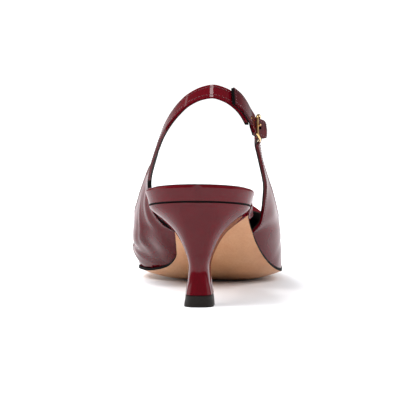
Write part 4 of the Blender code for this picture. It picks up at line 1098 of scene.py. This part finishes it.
BUCKLE_STRAP_THICKNESS = 0.0018
BUCKLE_STRAP_WIDTH = 0.0098
BUCKLE_STRAP_LAP = 0.0214
BUCKLE_STRAP_TIP = 0.0026
BUCKLE_STRAP_TIP_RISE = 0.0006
BUCKLE_STRAP_ROUND = 0.0052
HOLE_LENGTH = 0.0040
HOLE_WIDTH = 0.0019
STRAP_AIR = 0.0001
STRAP_COLUMNS = 22
STRAP_SEAM_INSET = 0.0012
STRAP_SEAM_SPARE = 0.0036
STRAP_PITCH = 0.0017
STRAP_STITCH = 0.0013
STRAP_THREAD = 0.00028
CUTTER_REACH = 0.004
STRAP_SHADE_RED = "#44060e"
STRAP_SHADE_DEEP = "#31040a"

# The strap's lacquer is creased from being bent, so its reflections break up at about 2.6 mm.
# Its red and deep red are painted darker than the upper's patent leather, as painted shade.
shaded_patent_strap = patent_leather("creased_shaded_patent_leather", STRAP_SHADE_RED, STRAP_SHADE_DEEP, 0.18, 0.0026)

half = BUCKLE_STRAP_THICKNESS / 2
sections = [strap_section(row) for row in SLING]
middles = [(foot + top) / 2 for foot, top in sections]
lengths = running(middles)
sling_path = smooth_path(middles, lengths)
sling_turn = smooth_path([(top - foot).normalized() for foot, top in sections], lengths)
centres = []
widths = []
for i in range(5):
    mark = lengths[-1] - BUCKLE_STRAP_LAP * (1 - i / 4)
    along = sling_path(mark + 0.0003) - sling_path(mark - 0.0006)
    width = sling_turn(mark).normalized()
    outward = along.cross(width).normalized()
    centres.append(sling_path(mark) + outward * (FIT_GAP + half + STRAP_AIR))
    widths.append(width)
under = -(BUCKLE_WIRE / 2 + FIT_GAP + half)
over = BUCKLE_WIRE / 2 + 2 * FIT_GAP + FOLD_WALL + half + STRAP_AIR
across_buckle = (buckle_point(0, 1, 0) - buckle_point(0, 0, 0)).normalized()
for ahead, out in ((-FRONT_BAR - BUCKLE_WIRE, under * 1.02), (-FRONT_BAR * 0.85, under),
                   (0.0, (under + over) / 2), (FRONT_BAR * 0.85, over),
                   (FRONT_BAR + BUCKLE_STRAP_TIP * 0.5, over + BUCKLE_STRAP_TIP_RISE * 0.6),
                   (FRONT_BAR + BUCKLE_STRAP_TIP, over + BUCKLE_STRAP_TIP_RISE)):
    centres.append(buckle_point(ahead, 0, out))
    widths.append(across_buckle)
lengths = running(centres)
strap_path = smooth_path(centres, lengths)
strap_turn = smooth_path(widths, lengths)
strap_end = lengths[-1]
hole_centre = lengths[-4] - HOLE_LENGTH * 0.25


def strap_frame(mark):
    """Point, width direction and outward normal of the buckle strap at a length along it."""
    along = (strap_path(mark + 0.0004) - strap_path(mark - 0.0004)).normalized()
    width = strap_turn(mark)
    width = (width - along * width.dot(along)).normalized()
    return strap_path(mark), width, along.cross(width)


rings = []
for mark in [strap_end * i / 70 for i in range(67)] + [
        strap_end - BUCKLE_STRAP_ROUND * (1 - math.sin(math.pi / 2 * k / 12)) for k in range(13)]:
    if rings and mark <= last_mark + 1e-6:
        continue
    last_mark = mark
    at, width, normal = strap_frame(mark)
    left = strap_end - mark
    share = 1.0
    if left < BUCKLE_STRAP_ROUND:
        share = 1 - 0.68 * (1 - left / BUCKLE_STRAP_ROUND) ** 1.7
    columns = [BUCKLE_STRAP_WIDTH * share * (j / STRAP_COLUMNS - 0.5)
               for j in range(STRAP_COLUMNS + 1)]
    seam = half * (1 - 2 * PATENT_SHARE)
    rings.append([at + width * x + normal * half for x in columns]
                 + [at + width * columns[-1] + normal * seam]
                 + [at + width * x - normal * half for x in reversed(columns)]
                 + [at + width * columns[0] + normal * seam])


def strap_paint(i, j):
    """Patent outside and turned over the edges, then ink, then black lining inside."""
    if j in (STRAP_COLUMNS + 1, 2 * STRAP_COLUMNS + 2):
        return 1
    return 2 if STRAP_COLUMNS < j <= 2 * STRAP_COLUMNS + 1 else 0


buckle_strap = skin("buckle_strap_patent", rings, [shaded_patent_strap, edge_ink_and_shade, lining], strap_paint)
for polygon in buckle_strap.data.polygons:
    if len(polygon.vertices) > 4:
        polygon.material_index = 1

# The prong's hole is punched long, with round ends.
at, across, normal = strap_frame(hole_centre)
along = across.cross(normal)
hole_rim = []
for k in range(24):
    turn = 2 * math.pi * k / 24
    x = math.cos(turn) * HOLE_WIDTH / 2
    y = math.sin(turn) * HOLE_WIDTH / 2
    y += math.copysign((HOLE_LENGTH - HOLE_WIDTH) / 2, y)
    hole_rim.append(at + across * x + along * y)
cutter = skin("prong_hole", [[p + normal * reach for p in hole_rim]
                             for reach in (-CUTTER_REACH, CUTTER_REACH)], [edge_ink_and_shade])
cut = buckle_strap.modifiers.new("prong_hole", "BOOLEAN")
cut.operation = "DIFFERENCE"
cut.solver = "EXACT"
cut.object = cutter
punched = evaluated(buckle_strap)
buckle_strap.modifiers.clear()
buckle_strap.data = punched
bpy.data.objects.remove(cutter)
round_edges(buckle_strap, 0.00028, 3, 50)
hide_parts("buckle_strap")
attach(buckle_strap, "root")

thread_rise = half + THREAD * 0.1
seams = []
for x in (-1, 1):
    line = []
    for i in range(60):
        at, width, normal = strap_frame(STRAP_SEAM_INSET + (strap_end - STRAP_SEAM_SPARE) * i / 59)
        line.append(at + width * (x * (BUCKLE_STRAP_WIDTH / 2 - STRAP_SEAM_INSET))
                    + normal * thread_rise)
    seams.append(line)
at, width, normal = strap_frame(0.0013)
seams.append([at + width * (BUCKLE_STRAP_WIDTH * (k / 8 - 0.5) * 0.74) + normal * thread_rise
              for k in range(9)])
sewn("buckle_strap_stitches", seams, STRAP_PITCH, STRAP_STITCH, STRAP_THREAD)

# The buckle is a cast and polished frame, plated in pale gold, with a prong bent round its
# front bar. The stub's folded end holds both.

BUCKLE_HEIGHT = 0.0136
BUCKLE_CORNER = 0.0030
BUCKLE_BOW = 0.0010
PRONG_WIRE = 0.0011
PRONG_REACH = 0.0010
GOLD = "#e6c48e"
GOLD_DEEP = "#c79d63"

# Gold plate over a polished zinc casting: bright, slightly warm, with faint polishing marks.
gold, tree, shader, where = surface("gold_plated_zinc_casting", Metallic=1.0)
marks = clouded(tree, shader, where, 700.0, 4.0, (0.35, 0.7), (GOLD, GOLD_DEEP))
dull = node(tree, "ShaderNodeMapRange", Value=marks, To_Min=0.12, To_Max=0.24)
tree.links.new(dull.outputs[0], shader.inputs["Roughness"])
bump = node(tree, "ShaderNodeBump", Strength=0.06, Distance=0.0001, Height=marks)
tree.links.new(bump.outputs[0], shader.inputs["Normal"])

WIRE_SIDES = 20


def drawn_wire(name, points, radii, closed):
    """A round wire along points, in a ring or with domed ends."""
    count = len(points)
    normal = buckle_point(0, 0, 1) - buckle_point(0, 0, 0)
    rings = []
    for i, point in enumerate(points):
        ahead = points[(i + 1) % count] if closed else points[min(i + 1, count - 1)]
        behind = points[i - 1] if closed else points[max(i - 1, 0)]
        along = (ahead - behind).normalized()
        normal = (normal - along * normal.dot(along)).normalized()
        side = along.cross(normal)
        rings.append([point + (normal * math.cos(a) + side * math.sin(a)) * radii[i]
                      for a in (2 * math.pi * k / WIRE_SIDES for k in range(WIRE_SIDES))])
    if not closed:
        for end, step in ((0, -1), (-1, 1)):
            beside = rings[1] if end == 0 else rings[-2]
            centre = points[end]
            push = (centre - points[1 if end == 0 else -2]).normalized() * radii[end]
            domes = [[centre + (p - centre) * math.cos(a) + push * math.sin(a)
                      for p in rings[end]] for a in (0.45, 0.9, 1.3)]
            rings = list(reversed(domes)) + rings if end == 0 else rings + domes
        return skin(name, rings, [gold], sharp=70)
    shape = bmesh.new()
    rows = [[shape.verts.new(p) for p in ring] for ring in rings]
    for i in range(count):
        low, high = rows[i], rows[(i + 1) % count]
        if i == count - 1:
            turn = min(range(WIRE_SIDES), key=lambda k: (high[k].co - low[0].co).length)
            high = high[turn:] + high[:turn]
        for k in range(WIRE_SIDES):
            m = (k + 1) % WIRE_SIDES
            shape.faces.new((low[k], low[m], high[m], high[k]))
    return finished(name, shape, [gold], 70)


height = (BUCKLE_HEIGHT - BUCKLE_WIRE) / 2
corner = BUCKLE_CORNER - BUCKLE_WIRE / 2
loop = []
for quarter in range(4):
    ahead = (FRONT_BAR - corner) * (1 if quarter in (0, 3) else -1)
    across = (height - corner) * (1 if quarter in (0, 1) else -1)
    for k in range(13):
        turn = math.radians(90 * quarter + 7.5 * k)
        loop.append((ahead + corner * math.cos(turn), across + corner * math.sin(turn)))
    flip = 1 if quarter < 2 else -1
    if quarter in (0, 2):
        loop += [(flip * (FRONT_BAR - corner) * t, flip * height) for t in (0.6, 0.2, -0.2, -0.6)]
    else:
        loop += [(-flip * FRONT_BAR, flip * (height - corner) * t)
                 for t in (0.75, 0.5, 0.25, 0, -0.25, -0.5, -0.75)]
points = [buckle_point(a, b, BUCKLE_BOW * (1 - (a / FRONT_BAR) ** 2)) for a, b in loop]
buckle_frame = drawn_wire("buckle_frame_gold", points, [BUCKLE_WIRE / 2] * len(points), True)
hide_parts("buckle_frame")

radius = BUCKLE_WIRE / 2 + FIT_GAP + PRONG_WIRE / 2
bend = []
for angle in range(-105, 166, 9):
    turn = math.radians(angle)
    bend.append((FRONT_BAR + radius * math.cos(turn), -radius * math.sin(turn)))
start_a, start_n = bend[-1]
end_a = -FRONT_BAR - PRONG_REACH
bend += [(start_a + (end_a - start_a) * t, start_n + (radius - start_n) * t)
         for t in (0.08, 0.2, 0.35, 0.5, 0.65, 0.8, 0.92, 1.0)]
radii = [PRONG_WIRE / 2] * (len(bend) - 3) + [PRONG_WIRE * r for r in (0.47, 0.42, 0.36)]
prong = drawn_wire("buckle_prong_gold", [buckle_point(a, 0, n) for a, n in bend], radii, False)
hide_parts("buckle_prong")
for piece in (buckle_frame, prong):
    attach(piece, "root")

# The shoe stands on a round white table. Its leather mirrors a panel on each side, a softbox
# above and a dim room behind the camera, while a key and a fill light don't show in it. Outside
# an oval round the shoe the table glows, and so meets the white backdrop without a line.

TABLE_RADIUS = 1.3
GLOW_FROM = 0.06
GLOW_TO = 0.20
GLOW_STRETCH = 2.4
GLOW_CENTRE = (0.010, 0.090)
ROOM_LIGHT = 0.28
BACKDROP_LIGHT = 1.15

ground = bmesh.new()
bmesh.ops.create_circle(ground, cap_ends=True, segments=96, radius=TABLE_RADIUS)
white_table, tree, shader, where = surface("white_lacquered_table", Roughness=0.8,
                                           Specular_IOR_Level=0.1,
                                           Base_Color=linear("#d8d9dc"))
stretched = node(tree, "ShaderNodeMapping", Vector=where, Scale=(GLOW_STRETCH, 1.0, 1.0))
away = node(tree, "ShaderNodeVectorMath", {"operation": "DISTANCE"}, _0=stretched.outputs[0],
            _1=(GLOW_CENTRE[0] * GLOW_STRETCH, GLOW_CENTRE[1], 0.0))
glow = node(tree, "ShaderNodeMapRange", {"interpolation_type": "SMOOTHSTEP"},
            Value=away.outputs["Value"], From_Min=GLOW_FROM, From_Max=GLOW_TO, To_Max=0.5)
tree.links.new(glow.outputs[0], shader.inputs["Emission Strength"])
shader.inputs["Emission Color"].default_value = (1.0, 1.0, 1.0, 1.0)
floor = finished("studio_table", ground, [white_table])
if floor.data.polygons[0].normal.z < 0:
    floor.data.flip_normals()

LIGHTS_AIM = (0.0, 0.05, 0.05)
for name, size, place_at, energy, mirrored in (
        ("overhead_softbox", (0.75, 0.42), (-0.09, -0.72, 1.85), 14.0, True),
        ("left_panel", (1.1, 0.6), (-1.25, 0.35, 0.36), 3.3, True),
        ("right_panel", (0.9, 0.5), (1.3, 0.35, 0.30), 1.3, True),
        ("key_light", (1.3, 1.3), (-0.9, -0.1, 1.45), 46.0, False),
        ("fill_light", (1.2, 1.2), (1.1, -0.1, 0.95), 22.0, False)):
    lamp = bpy.data.lights.new(name, "AREA")
    lamp.shape = "RECTANGLE"
    lamp.size, lamp.size_y = size
    lamp.energy = energy
    light = shown(name, lamp)
    light.location = place_at
    turned = (Vector(LIGHTS_AIM) - Vector(place_at)).to_track_quat("-Z", "Y")
    light.rotation_euler = turned.to_euler()
    light.visible_glossy = mirrored

world = bpy.data.worlds.new("white_studio")
bpy.context.scene.world = world
world.use_nodes = True
tree = world.node_tree
direction = tree.nodes.new("ShaderNodeTexCoord").outputs["Generated"]
split = node(tree, "ShaderNodeSeparateXYZ", Vector=direction)
ahead = node(tree, "ShaderNodeMapRange", Value=split.outputs["Y"], From_Min=0.0)
narrow = node(tree, "ShaderNodeMath", {"operation": "POWER"}, _0=ahead.outputs[0], _1=16.0)
fade = node(tree, "ShaderNodeMapRange", Value=narrow.outputs[0], To_Min=ROOM_LIGHT,
            To_Max=BACKDROP_LIGHT)
looked_at = node(tree, "ShaderNodeLightPath").outputs["Is Camera Ray"]
backdrop = node(tree, "ShaderNodeMapRange", Value=looked_at, To_Max=BACKDROP_LIGHT)
brighter = node(tree, "ShaderNodeMath", {"operation": "MAXIMUM"}, _0=fade.outputs[0],
                _1=backdrop.outputs[0])
tree.links.new(brighter.outputs[0], tree.nodes["Background"].inputs["Strength"])
tree.nodes["Background"].inputs["Color"].default_value = (1.0, 1.0, 1.0, 1.0)

# The camera stands behind the shoe, 2.5 degrees to its outer side and 4.9 degrees up.

CAMERA_AZIMUTH_DEG = 2.5
CAMERA_ELEVATION_DEG = 4.9
CAMERA_DISTANCE = 2.2
CAMERA_TARGET = Vector((0.0046, 0.0, 0.0503))
SENSOR_MM = 36.0
LENS_MM = 373.2
azimuth, elevation = math.radians(CAMERA_AZIMUTH_DEG), math.radians(CAMERA_ELEVATION_DEG)
back = Vector((math.sin(azimuth) * math.cos(elevation), -math.cos(azimuth) * math.cos(elevation),
               math.sin(elevation)))
lens = bpy.data.cameras.new("photo_camera")
lens.sensor_width = SENSOR_MM
lens.lens = LENS_MM
lens.clip_end = 30.0
camera = shown("photo_camera", lens)
camera.location = CAMERA_TARGET + back * CAMERA_DISTANCE
camera.rotation_euler = back.to_track_quat("Z", "Y").to_euler()
bpy.context.scene.camera = camera
bpy.context.scene.view_settings.view_transform = "Standard"
